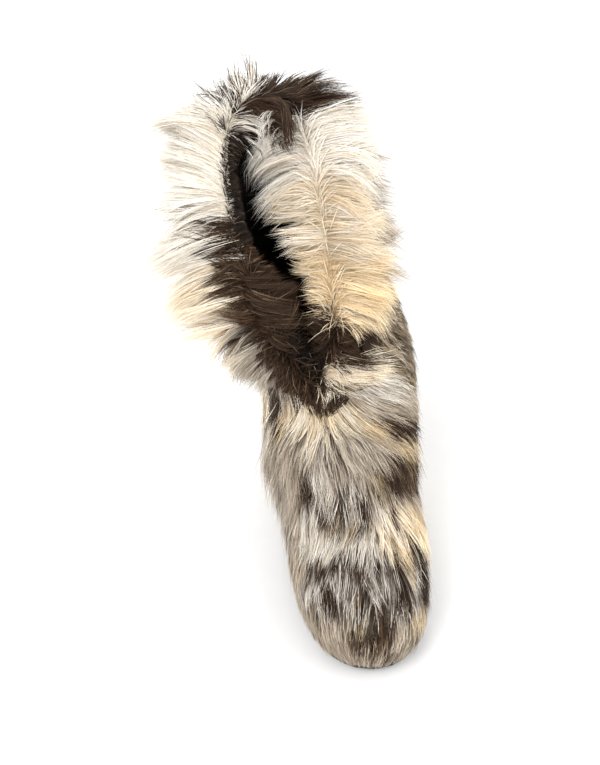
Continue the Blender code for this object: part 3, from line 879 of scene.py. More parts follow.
def ribbon_points(lines, facing, widths, rng):
    """The corners of each hair's ribbon: pairs from root to tip, and the tip."""
    count, points, _ = lines.shape
    lines[..., 2] = np.maximum(lines[..., 2], FLOOR_CLEAR)
    way = unit(np.gradient(lines, axis=1))
    across = unit(np.cross(way, facing[:, None]))
    lift = np.cross(across, way)
    twist = rng.normal(0, RIBBON_TWIST, count)[:, None, None]
    across = across * np.cos(twist) + lift * np.sin(twist)
    share = np.linspace(0, 1, points)
    profile = np.minimum(1.0, ROOT_WIDTH + WIDENING * share) * (1 - share ** TAPER)
    half = across * (widths[:, None] * profile)[..., None] / 2
    strip = np.empty((count, 2 * points - 1, 3))
    strip[:, 0:-1:2] = lines[:, :-1] - half[:, :-1]
    strip[:, 1:-1:2] = lines[:, :-1] + half[:, :-1]
    strip[:, -1] = lines[:, -1]
    return strip


def ribbon_faces(mesh, count, points):
    """Adds each ribbon's faces to the mesh: quads, and a triangle at the tip. Gives their corners."""
    quads = [(2 * k, 2 * k + 1, 2 * k + 3, 2 * k + 2) for k in range(points - 2)]
    tip = (2 * points - 4, 2 * points - 3, 2 * points - 2)
    pattern = np.array([corner for quad in quads for corner in quad] + list(tip))
    loops = (np.arange(count)[:, None] * (2 * points - 1) + pattern[None]).ravel()
    sizes = np.tile([4] * (points - 2) + [3], count)
    firsts = np.concatenate([[0], np.cumsum(sizes)[:-1]])
    mesh.loops.add(len(loops))
    mesh.loops.foreach_set("vertex_index", loops.astype(np.int32))
    mesh.polygons.add(len(sizes))
    mesh.polygons.foreach_set("loop_start", firsts.astype(np.int32))
    mesh.polygons.foreach_set("loop_total", sizes.astype(np.int32))
    mesh.polygons.foreach_set("use_smooth", np.ones(len(sizes), bool))
    return loops


def chart_ribbons(mesh, loops, count, points, shares):
    """Gives each ribbon a cell of its own in the bake chart."""
    cells = math.ceil(math.sqrt(count))
    column, row = np.arange(count) % cells, np.arange(count) // cells
    side = np.array([0, 1] * (points - 1) + [0.5])
    u = (column[:, None] + CELL_SIDE + (1 - 2 * CELL_SIDE) * side[None]) / cells
    v = (row[:, None] + CELL_END + (1 - 2 * CELL_END) * shares[None]) / cells
    flat = np.stack([u, v], axis=-1).reshape(-1, 2)[loops]
    chart = mesh.uv_layers.new(name=BAKE_CHART)
    chart.data.foreach_set("uv", flat.astype(np.float32).ravel())


def ribbon_mesh(name, lines, facing, widths, colours, rng):
    """One mesh of flat tapering ribbons. Colours are root colours, tip colours and where they turn."""
    root_colours, tip_colours, turn = colours
    count, points, _ = lines.shape
    strip = ribbon_points(lines, facing, widths, rng)
    mesh = bpy.data.meshes.new(name)
    mesh.vertices.add(strip.shape[0] * strip.shape[1])
    mesh.vertices.foreach_set("co", strip.astype(np.float32).ravel())
    loops = ribbon_faces(mesh, count, points)
    mesh.update()
    shares = np.concatenate([np.repeat(np.linspace(0, 1, points)[:-1], 2), [1.0]])
    turn = turn[:, None]
    # from root to tip: the darker root colour is partly painted shade deep in the fur
    mix = smooth_step(shares[None] + 0 * turn, turn - TURN_BLUR, turn + TURN_BLUR)[..., None]
    paint(mesh, (root_colours[:, None] * (1 - mix) + tip_colours[:, None] * mix).reshape(-1, 3))
    chart_ribbons(mesh, loops, count, points, shares)
    return placed(name, mesh)


def paint(mesh, colours):
    """Gives each point of the mesh its colour."""
    rgba = np.ones((len(colours), 4), np.float32)
    rgba[:, :3] = colours
    layer = mesh.color_attributes.new(COAT_LAYER, "FLOAT_COLOR", "POINT")
    layer.data.foreach_set("color", rgba.ravel())


def placed(name, data):
    """A new object in the scene that holds the data."""
    piece = bpy.data.objects.new(name, data)
    bpy.context.scene.collection.objects.link(piece)
    return piece


def gap_to(skin, places):
    """The distance from each place to a skin."""
    return np.array([skin.tree.find_nearest(place)[3] for place in places])


def underfur(name, depth, coats):
    """A thick pelt under the long hair, over both walls and the rim. It takes the hairs' root colours
    darkened as painted shade between the hairs, and deep in the opening it is near-black with painted
    shade of the boot's inside.
    """
    rng = np.random.default_rng(SEEDS[name])
    boot = hide()
    skin = boot.over_rim
    gaps, shares = boot.rim_places(skin.points)
    numbers = markings_at(skin.points, skin.normals, rng)
    on_strip = gaps < STRIP_WIDTH
    under, _ = layer_of(shares, gaps)
    strip = np.where(under < 0, rim_coats(shares, OUTER_RIM_COATS, rng), under)
    numbers[on_strip] = strip[on_strip]
    within = gap_to(boot.inner, skin.points) < gap_to(boot.outer, skin.points) + LIP_SHARE
    inside = rim_coats(shares, INNER_RIM_COATS, rng)
    # deeper inside the opening the underfur is near-black: dark lining and painted shade of the boot's
    # inside
    numbers[within] = np.where(gaps < INNER_STRIP, inside, COAT_NUMBERS["black_and_shade"])[within]
    bump = swirled(skin.points, PELT_WAVES) * PELT_BUMP
    lip = LIP_PELT * np.exp(-(gaps / LIP_WIDTH) ** 2)
    spots = skin.points + skin.normals * (depth + lip + bump)[:, None]
    spots[:, 2] = np.maximum(spots[:, 2], FLOOR_CLEAR)
    mesh = bpy.data.meshes.new(name)
    mesh.from_pydata(spots.tolist(), [], skin.triangles.tolist())
    roots, _ = coats.pick(numbers, rng.random(len(skin.points)))
    # the root colour darkened as painted shade in the gaps between the hairs
    paint(mesh, roots * PELT_PAINTED_SHADE)
    mesh.polygons.foreach_set("use_smooth", np.ones(len(mesh.polygons), bool))
    return placed(name, mesh)


def on_shaft(places):
    """A number that grows from the foot, where it is low, up to the shaft."""
    return places[:, 2] - SHAFT_SLANT * places[:, 1]


def vamp_odds(places):
    """How likely the foot's hair is to root at each place."""
    return 1 - smooth_step(on_shaft(places), *VAMP_ENDS)


def shaft_odds(places):
    """How likely the shaft's hair is to root at each place. It thins out under the collar."""
    gaps, _ = hide().rim_places(places)
    thinned = SHAFT_THINNEST + (1 - SHAFT_THINNEST) * smooth_step(gaps, *SHAFT_THINS)
    return smooth_step(on_shaft(places), *SHAFT_STARTS) * thinned


def vamp_length(places):
    """The length of the foot's hair, short beside the sole."""
    shortest, added = VAMP_LENGTHS
    return shortest + added * smooth_step(places[:, 2], *VAMP_GROWS)


def shaft_length(places):
    """The length of the shaft's hair, longer at the front."""
    shortest, added = SHAFT_LENGTHS
    return shortest + added * (1 - smooth_step(places[:, 1], *SHAFT_GROWS))


def dyed(coats, numbers, draws, shades, turn):
    """The colours of hairs by coat number: at the root, at the tip, and where they turn."""
    root_colours, tip_colours = coats.pick(numbers, draws)
    shades = np.clip(shades, *SHADE_LIMITS)[:, None]
    turn = turn + TIPPED_DELAY * (numbers == COAT_NUMBERS["tipped"])
    return root_colours * shades, tip_colours * shades, turn


def locks_dyed(coats, numbers, guide_of, guide_count, growth, rng):
    """The colours of hairs that the hairs of a lock partly share."""
    count = len(guide_of)
    lock = rng.random(guide_count)[guide_of]
    draws = np.where(rng.random(count) < growth.alike, lock, rng.random(count))
    shades = rng.normal(1, growth.hair_shades, count)
    shades = shades * rng.normal(1, growth.lock_shades, guide_count)[guide_of]
    return dyed(coats, numbers, draws, shades, rng.uniform(*growth.turn, count))


def body_hair(name, count, odds_at, length_at, sizes, coats):
    """Short combed hair over part of the outer wall."""
    rng = np.random.default_rng(SEEDS[name])
    skin = hide().outer
    odds = odds_at(skin.points[skin.triangles].mean(1))
    guide_count = count // ShortGrowth.hairs_per_guide
    roots, normals = skin.scatter(guide_count, rng, odds)
    longer, prouder = extra_length(roots, normals)
    lengths = (length_at(roots) + longer) * rng.uniform(*BODY_LENGTH_SPREAD, guide_count)
    heights = (sizes.body_rise + prouder) * rng.uniform(*BODY_RISE_SPREAD, guide_count)
    wander = swirled(roots, BODY_WAVES) + rng.normal(0, BODY_WANDER, guide_count)
    roots = roots + normals * MM
    guides = lay_guides(skin, roots, normals, lengths, heights, wander, ShortGrowth.guide_steps)
    guides = gather(guides, ShortGrowth.locks, rng)
    roots, normals = skin.scatter(count, rng, odds)
    guide_of = nearest_guides(guides[:, 0], roots)
    lines = grow_hairs(guides, guide_of, roots + normals * MM, ShortGrowth, rng)
    numbers = markings_at(lines[:, MARKED_POINT], normals, rng)
    colours = locks_dyed(coats, numbers, guide_of, guide_count, ShortGrowth, rng)
    widths = sizes.body_width * rng.uniform(*WIDTH_SPREAD, count)
    return ribbon_mesh(name, lines, normals, widths, colours, rng)


def strip_roots(count, inside, rng):
    """Roots on the strip under the rim, outside or inside.

    They come as places, the way their wall faces and their depth under the rim.
    """
    boot = hide()
    skin = boot.over_rim
    centres = skin.points[skin.triangles].mean(1)
    gaps, _ = boot.rim_places(centres)
    reach, fade = INNER_STRIP_ROOTS if inside else OUTER_STRIP_ROOTS
    odds = np.exp(-gaps / fade) * (gaps < reach) * np.where(gaps < LIP_DEPTH, LIP_DENSITY, 1.0)
    near = np.nonzero(odds > 0)[0]
    here, away = (boot.inner, boot.outer) if inside else (boot.outer, boot.inner)
    on_side = gap_to(here, centres[near]) < gap_to(away, centres[near]) + SIDE_SLACK
    odds[near[~on_side]] = 0
    roots, _ = skin.scatter(count, rng, odds)
    _, facing = here.nearest(roots)
    gaps, _ = boot.rim_places(roots)
    on_lip = 1 - smooth_step(gaps, *LIP_FADES)
    roots = roots - facing * (rng.uniform(*LIP_ACROSS, count) * on_lip)[:, None]
    roots[:, 2] += rng.uniform(*LIP_UP, count) * on_lip
    return roots, facing, gaps


def ridge_roots(count, rng):
    """Roots along the rim itself: places, and the way the outer wall faces there."""
    boot = hide()
    spots = boot.rim[rng.integers(0, len(boot.rim), count)]
    spots = spots + rng.normal(0, RIDGE_SCATTER, (count, 3))
    _, facing = boot.outer.nearest(spots)
    spots = spots + facing * rng.uniform(*RIDGE_ACROSS, count)[:, None]
    spots[:, 2] += rng.uniform(*RIDGE_UP, count)
    return spots, facing


def along_rim(shares, inside):
    """The length in mm and the sway along each axis that hair has at shares of the rim."""
    stops, *columns = np.array(RIM_THROWS).T
    half = len(columns) // 2
    columns = columns[half:] if inside else columns[:half]
    length, *sway = [np.interp(shares, stops, column) for column in columns]
    return length, np.stack(sway, axis=1)


def at_throat(shares):
    """1 at the throat's shares of the rim, 0 past its ends, and a soft ramp between them."""
    return 1 - smooth_step(np.minimum(shares, 1 - shares), *THROAT_SHARES)


def layer_of(shares, gaps):
    """Which hairs are in a rim layer's under hair: the coat's number or -1, and the length's factor."""
    number, factor = np.full(len(shares), -1), np.ones(len(shares))
    for start, end, depth, name, top, under in RIM_LAYERS:
        within = (shares >= start) & (shares < end)
        deep = within & (gaps > depth * MM)
        number[deep] = COAT_NUMBERS[name]
        factor[within] = top
        factor[deep] = under
    return number, factor


def thrown(roots, facing, gaps, inside, reach, rng):
    """The guides of the rim's long hair, and the under layer's coat for those in it, or -1."""
    boot = hide()
    count = len(roots)
    _, shares = boot.rim_places(roots)
    length, sway = along_rim(shares, inside)
    under, factor = np.full(count, -1), np.ones(count)
    if not inside:
        under, factor = layer_of(shares, gaps)
        streaks = rng.random(count) < LONG_TOP_SHARE
        factor = np.where(streaks, np.maximum(factor, LONG_TOP_LENGTH), factor)
    lengths = length * MM * reach * rng.uniform(*THROW_SPREAD, count)
    lengths = lengths * (1 - DEEP_SHORTER * smooth_step(gaps, *DEEP_LENGTHS)) * factor
    down = unit(along(np.array([[0, 0, -1.0]]) + 0 * facing, facing))
    aside = np.cross(facing, down)
    deep = smooth_step(gaps, *DEEP_WAYS)
    on_lip = 1 - smooth_step(gaps, *LIP_WAYS)
    stand = 1.0 - DEEP_STOOP * deep
    falls, deep_falls, lip_lifts = FALL
    fall = falls + deep_falls * deep - lip_lifts * on_lip
    wander = swirled(roots, RIM_WAVES) + rng.normal(0, RIM_WANDER, count)
    ways = facing * stand[:, None] + down * fall[:, None] + aside * wander[:, None]
    steadiness = rng.uniform(*(INNER_STEADINESS if inside else OUTER_STEADINESS), count)
    ways = ways + sway * steadiness[:, None]
    front = at_throat(shares)
    droop, droop_added = INNER_DROOP if inside else OUTER_DROOP
    droop = droop + droop_added * front
    curl = swirled_ways(roots, CURL_WAVES)
    curl += rng.normal(0, CURL_SPREAD, curl.shape) * (1 + THROAT_CURL * front)[:, None]
    walls = boot.inner if inside else boot.outer
    return throw_guides(walls, roots, ways, lengths, droop, curl, LongGrowth.guide_steps), under


def skywards(facing):
    """The way the flat of the rim's hair faces: mostly up, partly as its wall does."""
    return unit(facing * SKY_TILT + np.array([0, 0, 1.0]))


def rim_hair(name, count, inside, sizes, coats):
    """Long hair from the strip under the rim, thrown outwards or into the opening."""
    rng = np.random.default_rng(SEEDS[name])
    guide_count = count // LongGrowth.hairs_per_guide
    roots, facing, gaps = strip_roots(guide_count, inside, rng)
    guides, under = thrown(roots, facing, gaps, inside, sizes.rim_reach, rng)
    for layer in (under < 0, under >= 0):
        if layer.any():
            guides[layer] = gather(guides[layer], LongGrowth.locks, rng)
    roots, facing, _ = strip_roots(count, inside, rng)
    guide_of = nearest_guides(guides[:, 0], roots)
    lines = grow_hairs(guides, guide_of, roots, LongGrowth, rng)
    _, shares = hide().rim_places(roots)
    numbers = rim_coats(shares, INNER_RIM_COATS if inside else OUTER_RIM_COATS, rng)
    numbers = np.where(under[guide_of] < 0, numbers, under[guide_of])
    colours = locks_dyed(coats, numbers, guide_of, guide_count, LongGrowth, rng)
    widths = sizes.rim_width * rng.uniform(*WIDTH_SPREAD, count)
    return ribbon_mesh(name, lines, skywards(facing), widths, colours, rng)


def ridge_hair(name, count, sizes, coats):
    """Short hair that stands on the rim and falls to either side, so no parting shows."""
    rng = np.random.default_rng(SEEDS[name])
    roots, facing = ridge_roots(count, rng)
    _, shares = hide().rim_places(roots)
    lean = rng.normal(0, 1.0, count)
    most, _ = along_rim(shares, True)
    lengths = RIDGE_LENGTH * rng.uniform(*RIDGE_LENGTH_SPREAD, count)
    most = np.maximum(most, LEAST_RIDGE)
    lengths = np.where(lean < 0, np.minimum(lengths, most * MM), lengths)
    _, sway = along_rim(shares, False)
    front = at_throat(shares)
    unruly = (RIDGE_UNRULY[0] + RIDGE_UNRULY[1] * front)[:, None]
    ways = facing * lean[:, None] + rng.normal(0, 1, (count, 3)) * unruly
    ways = ways + sway * RIDGE_SWAY + swirled_ways(roots, RIDGE_WAVES)
    ways[:, 2] += RIDGE_RISE[0] + RIDGE_RISE[1] * front
    curl = rng.normal(0, 1, (count, 3)) * unruly * RIDGE_CURL
    droop = np.full(count, RIDGE_DROOP)
    lines = throw_guides(hide().over_rim, roots, ways, lengths, droop, curl, RIDGE_STEPS)
    outer = rim_coats(shares, OUTER_RIM_COATS, rng)
    inner = rim_coats(shares, INNER_RIM_COATS, rng)
    numbers = np.where(lean < INNER_LEAN, inner, outer)
    draws, shades = rng.random(count), rng.normal(1, RIDGE_SHADES, count)
    colours = dyed(coats, numbers, draws, shades, rng.uniform(*RIDGE_TURN, count))
    widths = sizes.rim_width * rng.uniform(*WIDTH_SPREAD, count)
    return ribbon_mesh(name, lines, skywards(facing), widths, colours, rng)


def new_material(name, colour, roughness):
    """A material of one shader, with its nodes, links and shader."""
    material = bpy.data.materials.new(name)
    material.use_nodes = True
    nodes, links = material.node_tree.nodes, material.node_tree.links
    shader = nodes["Principled BSDF"]
    shader.inputs["Base Color"].default_value = (*colour, 1)
    shader.inputs["Roughness"].default_value = roughness
    return material, nodes, links, shader


def noise_of(nodes, links, scale, detail):
    """A noise over the object's own space."""
    noise = nodes.new("ShaderNodeTexNoise")
    noise.inputs["Scale"].default_value = scale
    noise.inputs["Detail"].default_value = detail
    place = nodes.new("ShaderNodeTexCoord")
    links.new(place.outputs["Object"], noise.inputs["Vector"])
    return noise


def ranged(nodes, links, source, low, high):
    """The source stretched from its middle range to low and high."""
    stretch = nodes.new("ShaderNodeMapRange")
    stretch.inputs["From Min"].default_value, stretch.inputs["From Max"].default_value = NOISE_MIDDLE
    stretch.inputs["To Min"].default_value = low
    stretch.inputs["To Max"].default_value = high
    links.new(source, stretch.inputs["Value"])
    return stretch.outputs["Result"]


def bumped(nodes, links, shader, height, depth):
    """Small relief from a height."""
    bump = nodes.new("ShaderNodeBump")
    bump.inputs["Strength"].default_value = BUMP_STRENGTH
    bump.inputs["Distance"].default_value = depth
    links.new(height, bump.inputs["Height"])
    links.new(bump.outputs["Normal"], shader.inputs["Normal"])


def toned(nodes, links, shader, first, second, factor):
    """A colour that runs between two colours."""
    mix = nodes.new("ShaderNodeMix")
    mix.data_type = "RGBA"
    mix.inputs["A"].default_value = (*first, 1)
    mix.inputs["B"].default_value = (*second, 1)
    links.new(factor, mix.inputs["Factor"])
    links.new(mix.outputs["Result"], shader.inputs["Base Color"])


def coat_material(name, roughness, grain, tones, relief):
    """Fur that takes each hair's painted colour, with grain, uneven sheen and fine relief."""
    material, nodes, links, shader = new_material(name, (0.5, 0.5, 0.5), roughness)
    shader.inputs["Specular IOR Level"].default_value = COAT_GLOSS
    painted = nodes.new("ShaderNodeAttribute")
    painted.attribute_name = COAT_LAYER
    noise = noise_of(nodes, links, grain, COAT_DETAIL).outputs["Fac"]
    tint = nodes.new("ShaderNodeVectorMath")
    tint.operation = "SCALE"
    links.new(painted.outputs["Color"], tint.inputs[0])
    links.new(ranged(nodes, links, noise, *tones), tint.inputs["Scale"])
    links.new(tint.outputs["Vector"], shader.inputs["Base Color"])
    smoother, rougher = roughness - ROUGHNESS_SPREAD, roughness + ROUGHNESS_SPREAD
    links.new(ranged(nodes, links, noise, smoother, rougher), shader.inputs["Roughness"])
    bumped(nodes, links, shader, noise, relief)
    return material


@functools.cache
def hair_material():
    """The material of every hair."""
    return coat_material(
        "combed hair", roughness=0.52, grain=900, tones=(0.88, 1.10), relief=0.1 * MM
    )


@functools.cache
def pelt_material():
    """The material of the underfur."""
    return coat_material(
        "dense underfur", roughness=0.85, grain=1400, tones=(0.55, 1.25), relief=0.8 * MM
    )


def mottled_material(name, colour, roughness, grain, detail, tone, relief=0, twist=0):
    """A material whose colour runs in patches to so much of itself, with relief if it has a depth."""
    material, nodes, links, shader = new_material(name, colour, roughness)
    noise = noise_of(nodes, links, grain, detail)
    noise.inputs["Distortion"].default_value = twist
    second = tuple(tone * part for part in colour)
    toned(nodes, links, shader, colour, second, ranged(nodes, links, noise.outputs["Fac"], 0, 1))
    if relief:
        bumped(nodes, links, shader, noise.outputs["Fac"], relief)
    return material


def fleece_and_shade_material(colour):
    """Dark clipped fleece on hide, mottled and woolly. Its near-black colour is partly painted shade of
    the boot's inside.
    """
    return mottled_material(
        "dark fleece", colour, roughness=0.92, grain=420, detail=6, tone=2.4, relief=0.9 * MM
    )


def felt_and_shade_material(colour):
    """Pressed felt with fine crossing fibres."""
    return mottled_material(
        "pressed felt", colour, roughness=0.95, grain=1600, detail=8, tone=1.9, relief=0.3 * MM, twist=2.5
    )


def rubber_material(colour):
    """Matte crepe rubber with a pebbled skin and dusty patches."""
    material, nodes, links, shader = new_material("crepe rubber", colour, RUBBER_ROUGHNESS)
    pebbles = nodes.new("ShaderNodeTexVoronoi")
    pebbles.inputs["Scale"].default_value = PEBBLE_SCALE
    place = nodes.new("ShaderNodeTexCoord")
    links.new(place.outputs["Object"], pebbles.inputs["Vector"])
    dust = noise_of(nodes, links, DUST_SCALE, DUST_DETAIL).outputs["Fac"]
    dusty = tuple(DUST_TONE * part + DUST_PALENESS for part in colour)
    toned(nodes, links, shader, colour, dusty, ranged(nodes, links, dust, 0, 1))
    links.new(ranged(nodes, links, dust, *DUSTY_ROUGHNESS), shader.inputs["Roughness"])
    bumped(nodes, links, shader, pebbles.outputs["Distance"], PEBBLE_RELIEF)
    return material


def paper_material(colour):
    """Pale matt paper, faintly uneven."""
    return mottled_material("pale paper", colour, roughness=0.8, grain=90, detail=3, tone=0.985)


def finish_node(name, material):
    """Gives a CAD node that stays its material."""
    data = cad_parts[name].data
    data.materials.clear()
    data.materials.append(material)


def finish_piece(piece, material):
    """Gives a piece its material, the slot its finish comes from and the body it rides on."""
    piece.data.materials.append(material)
    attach(piece, "root")


def colour_property(label, text, default):
    """A colour that the panel shows."""
    return FloatVectorProperty(
        name=label, description=text, subtype="COLOR", size=3, min=0, max=1, default=default
    )


def tip_property(coat, text):
    """The tip colour of a coat, from the table of coats."""
    return colour_property(coat.capitalize(), text, COATS[coat][0][2])


def count_property(label, text, default):
    """A number of hairs."""
    return IntProperty(name=label, description=text, default=default, min=500, max=40000)


def length_property(label, text, default):
    """A length in metres."""
    return FloatProperty(name=label, description=text, default=default, min=0, unit="LENGTH", precision=5)


class FurSizes(bpy.types.PropertyGroup):
    """How many hairs there are and how big they are."""

    vamp_count: count_property("Vamp hairs", "Hairs on the foot", 39500)
    shaft_count: count_property("Shaft hairs", "Hairs on the shaft", 39500)
    collar_count: count_property("Collar hairs", "Long hairs thrown outwards", 21500)
    guard_count: count_property("Guard hairs", "Further long hairs thrown outwards", 13000)
    ridge_count: count_property("Ridge hairs", "Short hairs that stand on the rim", 9000)
    lining_count: count_property("Lining hairs", "Hairs thrown into the opening", 14000)
    body_width: length_property("Short hair width", "Width of a hair on foot and shaft", 0.52 * MM)
    rim_width: length_property("Long hair width", "Width of a hair at the rim", 0.53 * MM)
    body_rise: length_property("Short hair rise", "How far short hair stands proud", 6.2 * MM)
    pelt_depth: length_property("Underfur depth", "How thick the underfur is", 1.2 * MM)
    rim_reach: FloatProperty(
        name="Rim reach", description="Reach of the rim's hair, as a share of its full reach",
        default=1.0, min=0.2, max=1.1, subtype="FACTOR",
    )


class FurColours(bpy.types.PropertyGroup):
    """The tip colour of each coat, and the colours of lining, insole and sole."""

    white: tip_property("white", "White hair on the collar")
    ivory: tip_property("ivory", "Soft ivory hair on the foot")
    honey: tip_property("honey", "Honey-coloured hair on foot and instep")
    cream: tip_property("cream", "Cream hair on collar, instep and forefoot")
    yellow: tip_property("yellow", "Yellow-cream hair on collar and foot")
    beige: tip_property("beige", "Beige hair on the toe and wherever no marking lies")
    smooth: tip_property("smooth", "Smooth grey-beige hair on the outer side")
    pale: tip_property("pale", "Pale grey hair with dark hairs in it")
    streaked: tip_property("streaked", "Brown and pale hair in streaks, below the instep")
    grey: tip_property("grey", "Pale and dark hair in streaks, on the forefoot and the heel")
    agouti: tip_property("agouti", "Dark banded hair on the ankle and the back")
    brown: tip_property("brown", "Dark brown hair in patches and round the throat")
    tipped: tip_property("tipped", "Brown hair with cream tips")
    # near-black hair in the opening, partly painted shade of the boot's inside
    black_and_shade: tip_property("black_and_shade", "Near-black hair in the opening")
    # near-black: partly dark fleece, partly painted shade of the boot's inside
    fleece_and_shade: colour_property("Fleece", "Fleece that lines the hide", (0.012, 0.009, 0.007))
    # dark: partly the felt's own colour, partly painted shade of the boot's inside
    felt_and_shade: colour_property("Felt", "Felt insole", (0.030, 0.025, 0.020))
    rubber: colour_property("Rubber", "Rubber outsole", (0.020, 0.017, 0.015))


class StageSettings(bpy.types.PropertyGroup):
    """The floor, the light and the camera."""

    floor: colour_property("Floor", "Colour of the floor", (0.93, 0.93, 0.93))
    sky: FloatProperty(name="Sky", description="Strength of the even light", default=0.88, min=0)
    key: FloatProperty(
        name="Key light", description="Power of the main light", default=15, min=0, unit="POWER"
    )
    azimuth: FloatProperty(
        name="Azimuth", description="How far the camera stands round from the toe",
        default=math.radians(1.3), subtype="ANGLE",
    )
    elevation: FloatProperty(
        name="Elevation", description="How far the camera looks down",
        default=math.radians(50), subtype="ANGLE",
    )
    roll: FloatProperty(
        name="Roll", description="How far the camera is turned about its line of sight",
        default=math.radians(4.0), subtype="ANGLE",
    )
    distance: FloatProperty(
        name="Distance", description="From the camera to what it looks at",
        default=1.6, min=0.5, unit="LENGTH",
    )
    lens: FloatProperty(
        name="Lens", description="The camera's focal length", default=99.5, min=20, unit="CAMERA"
    )


class FURBOOT_OT_hide(bpy.types.Operator):
    """Finish the hide with its dark fleece lining, whose near-black colour is partly painted shade of the
    boot's inside
    """

    bl_idname = "fur_boot.hide"
    bl_label = "Hide and lining"

    def execute(self, context):
        finish_node("upper", fleece_and_shade_material(context.scene.fur_colours.fleece_and_shade))
        return {"FINISHED"}


class FURBOOT_OT_insole(bpy.types.Operator):
    """Finish the dark felt insole, whose dark colour is partly painted shade of the boot's inside"""

    bl_idname = "fur_boot.insole"
    bl_label = "Insole"

    def execute(self, context):
        finish_node("insole", felt_and_shade_material(context.scene.fur_colours.felt_and_shade))
        return {"FINISHED"}


class FURBOOT_OT_outsole(bpy.types.Operator):
    """Finish the rubber outsole"""

    bl_idname = "fur_boot.outsole"
    bl_label = "Outsole"

    def execute(self, context):
        finish_node("outsole", rubber_material(context.scene.fur_colours.rubber))
        return {"FINISHED"}


class FURBOOT_OT_underfur(bpy.types.Operator):
    """Lay the dense underfur over the hide"""

    bl_idname = "fur_boot.underfur"
    bl_label = "Underfur"

    def execute(self, context):
        scene = context.scene
        piece = underfur("underfur", scene.fur_sizes.pelt_depth, Coats(scene.fur_colours))
        finish_piece(piece, pelt_material())
        return {"FINISHED"}


class FURBOOT_OT_vamp_hair(bpy.types.Operator):
    """Comb the short hair over the foot"""

    bl_idname = "fur_boot.vamp_hair"
    bl_label = "Vamp hair"

    def execute(self, context):
        sizes, coats = context.scene.fur_sizes, Coats(context.scene.fur_colours)
        piece = body_hair("vamp_hair", sizes.vamp_count, vamp_odds, vamp_length, sizes, coats)
        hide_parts("vamp_fur")
        finish_piece(piece, hair_material())
        return {"FINISHED"}


class FURBOOT_OT_shaft_hair(bpy.types.Operator):
    """Comb the short hair over the shaft"""

    bl_idname = "fur_boot.shaft_hair"
    bl_label = "Shaft hair"

    def execute(self, context):
        sizes, coats = context.scene.fur_sizes, Coats(context.scene.fur_colours)
        piece = body_hair("shaft_hair", sizes.shaft_count, shaft_odds, shaft_length, sizes, coats)
        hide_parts("shaft_fur")
        finish_piece(piece, hair_material())
        return {"FINISHED"}


class FURBOOT_OT_collar_hair(bpy.types.Operator):
    """Throw the collar's long hair outwards"""

    bl_idname = "fur_boot.collar_hair"
    bl_label = "Collar hair"

    def execute(self, context):
        sizes, coats = context.scene.fur_sizes, Coats(context.scene.fur_colours)
        collar = rim_hair("collar_hair", sizes.collar_count, False, sizes, coats)
        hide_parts("collar_fur")
        guard = rim_hair("collar_guard_hair", sizes.guard_count, False, sizes, coats)
        for piece in (collar, guard):
            finish_piece(piece, hair_material())
        return {"FINISHED"}


class FURBOOT_OT_ridge_hair(bpy.types.Operator):
    """Stand short hair on the rim"""

    bl_idname = "fur_boot.ridge_hair"
    bl_label = "Ridge hair"

    def execute(self, context):
        sizes, coats = context.scene.fur_sizes, Coats(context.scene.fur_colours)
        piece = ridge_hair("ridge_hair", sizes.ridge_count, sizes, coats)
        finish_piece(piece, hair_material())
        return {"FINISHED"}


class FURBOOT_OT_lining_hair(bpy.types.Operator):
    """Throw hair from the rim into the opening"""

    bl_idname = "fur_boot.lining_hair"
    bl_label = "Lining hair"

    def execute(self, context):
        sizes, coats = context.scene.fur_sizes, Coats(context.scene.fur_colours)
        piece = rim_hair("lining_hair", sizes.lining_count, True, sizes, coats)
        finish_piece(piece, hair_material())
        return {"FINISHED"}


def aimed(holder, place, target, roll=0.0):
    """Puts a light or camera at a place, looking at a target."""
    holder.location = place
    holder.rotation_mode = "QUATERNION"
    look = (target - place).to_track_quat("-Z", "Y")
    holder.rotation_quaternion = look @ Quaternion((0, 0, 1), roll)


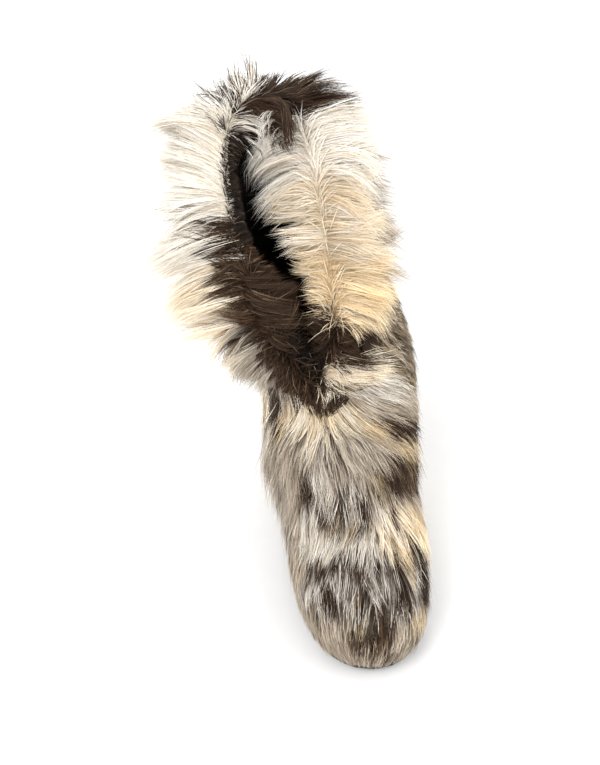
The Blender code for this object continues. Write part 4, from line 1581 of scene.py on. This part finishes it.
class FURBOOT_OT_stage(bpy.types.Operator):
    """Lay the floor and set the light and the camera"""

    bl_idname = "fur_boot.stage"
    bl_label = "Stage"

    def execute(self, context):
        stage = context.scene.fur_stage
        mesh = bpy.data.meshes.new("floor")
        corners = [(x * FLOOR_REACH, y * FLOOR_REACH, 0) for x, y in ((-1, -1), (1, -1), (1, 1), (-1, 1))]
        mesh.from_pydata(corners, [], [(0, 1, 2, 3)])
        mesh.materials.append(paper_material(stage.floor))
        placed("floor", mesh)
        world = bpy.data.worlds.new("soft sky")
        world.use_nodes = True
        world.node_tree.nodes["Background"].inputs["Color"].default_value = (1, 1, 1, 1)
        world.node_tree.nodes["Background"].inputs["Strength"].default_value = stage.sky
        context.scene.world = world
        context.scene.view_settings.view_transform = "Standard"
        for name, place, size, share in LAMPS:
            lamp = bpy.data.lights.new(name, "AREA")
            lamp.size, lamp.energy = size, stage.key * share
            aimed(placed(name, lamp), Vector(place), Vector(LAMP_TARGET))
        camera = bpy.data.cameras.new("camera")
        camera.lens, camera.sensor_width = stage.lens, SENSOR_WIDTH
        level = math.cos(stage.elevation)
        back = Vector((
            math.sin(stage.azimuth) * level, -math.cos(stage.azimuth) * level, math.sin(stage.elevation)
        ))
        holder = placed("camera", camera)
        target = Vector(VIEW_TARGET)
        aimed(holder, target + back * stage.distance, target, -stage.roll)
        context.scene.camera = holder
        return {"FINISHED"}


class FURBOOT_PT_looks(bpy.types.Panel):
    """Sizes, colours and the steps that dress the boot"""

    bl_idname = "FURBOOT_PT_looks"
    bl_label = "Fur boot"
    bl_space_type = "VIEW_3D"
    bl_region_type = "UI"
    bl_category = "Fur boot"

    def draw(self, context):
        for group in (context.scene.fur_sizes, context.scene.fur_colours, context.scene.fur_stage):
            box = self.layout.box()
            for name in group.__annotations__:
                box.prop(group, name)
        for step in STEPS:
            self.layout.operator(step.bl_idname)


GROUPS = {"fur_sizes": FurSizes, "fur_colours": FurColours, "fur_stage": StageSettings}
STEPS = (
    FURBOOT_OT_hide,
    FURBOOT_OT_insole,
    FURBOOT_OT_outsole,
    FURBOOT_OT_underfur,
    FURBOOT_OT_vamp_hair,
    FURBOOT_OT_shaft_hair,
    FURBOOT_OT_collar_hair,
    FURBOOT_OT_ridge_hair,
    FURBOOT_OT_lining_hair,
    FURBOOT_OT_stage,
)


def register():
    """Adds the classes and the scene's settings."""
    for kind in (*GROUPS.values(), *STEPS, FURBOOT_PT_looks):
        bpy.utils.register_class(kind)
    for name, group in GROUPS.items():
        setattr(bpy.types.Scene, name, PointerProperty(type=group))


def unregister():
    """Takes the classes and the settings away."""
    for name in GROUPS:
        delattr(bpy.types.Scene, name)
    for kind in reversed((*GROUPS.values(), *STEPS, FURBOOT_PT_looks)):
        bpy.utils.unregister_class(kind)


def main():
    """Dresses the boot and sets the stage."""
    register()
    for step in STEPS:
        area, name = step.bl_idname.split(".")
        getattr(getattr(bpy.ops, area), name)()


if __name__ == "__main__":
    main()
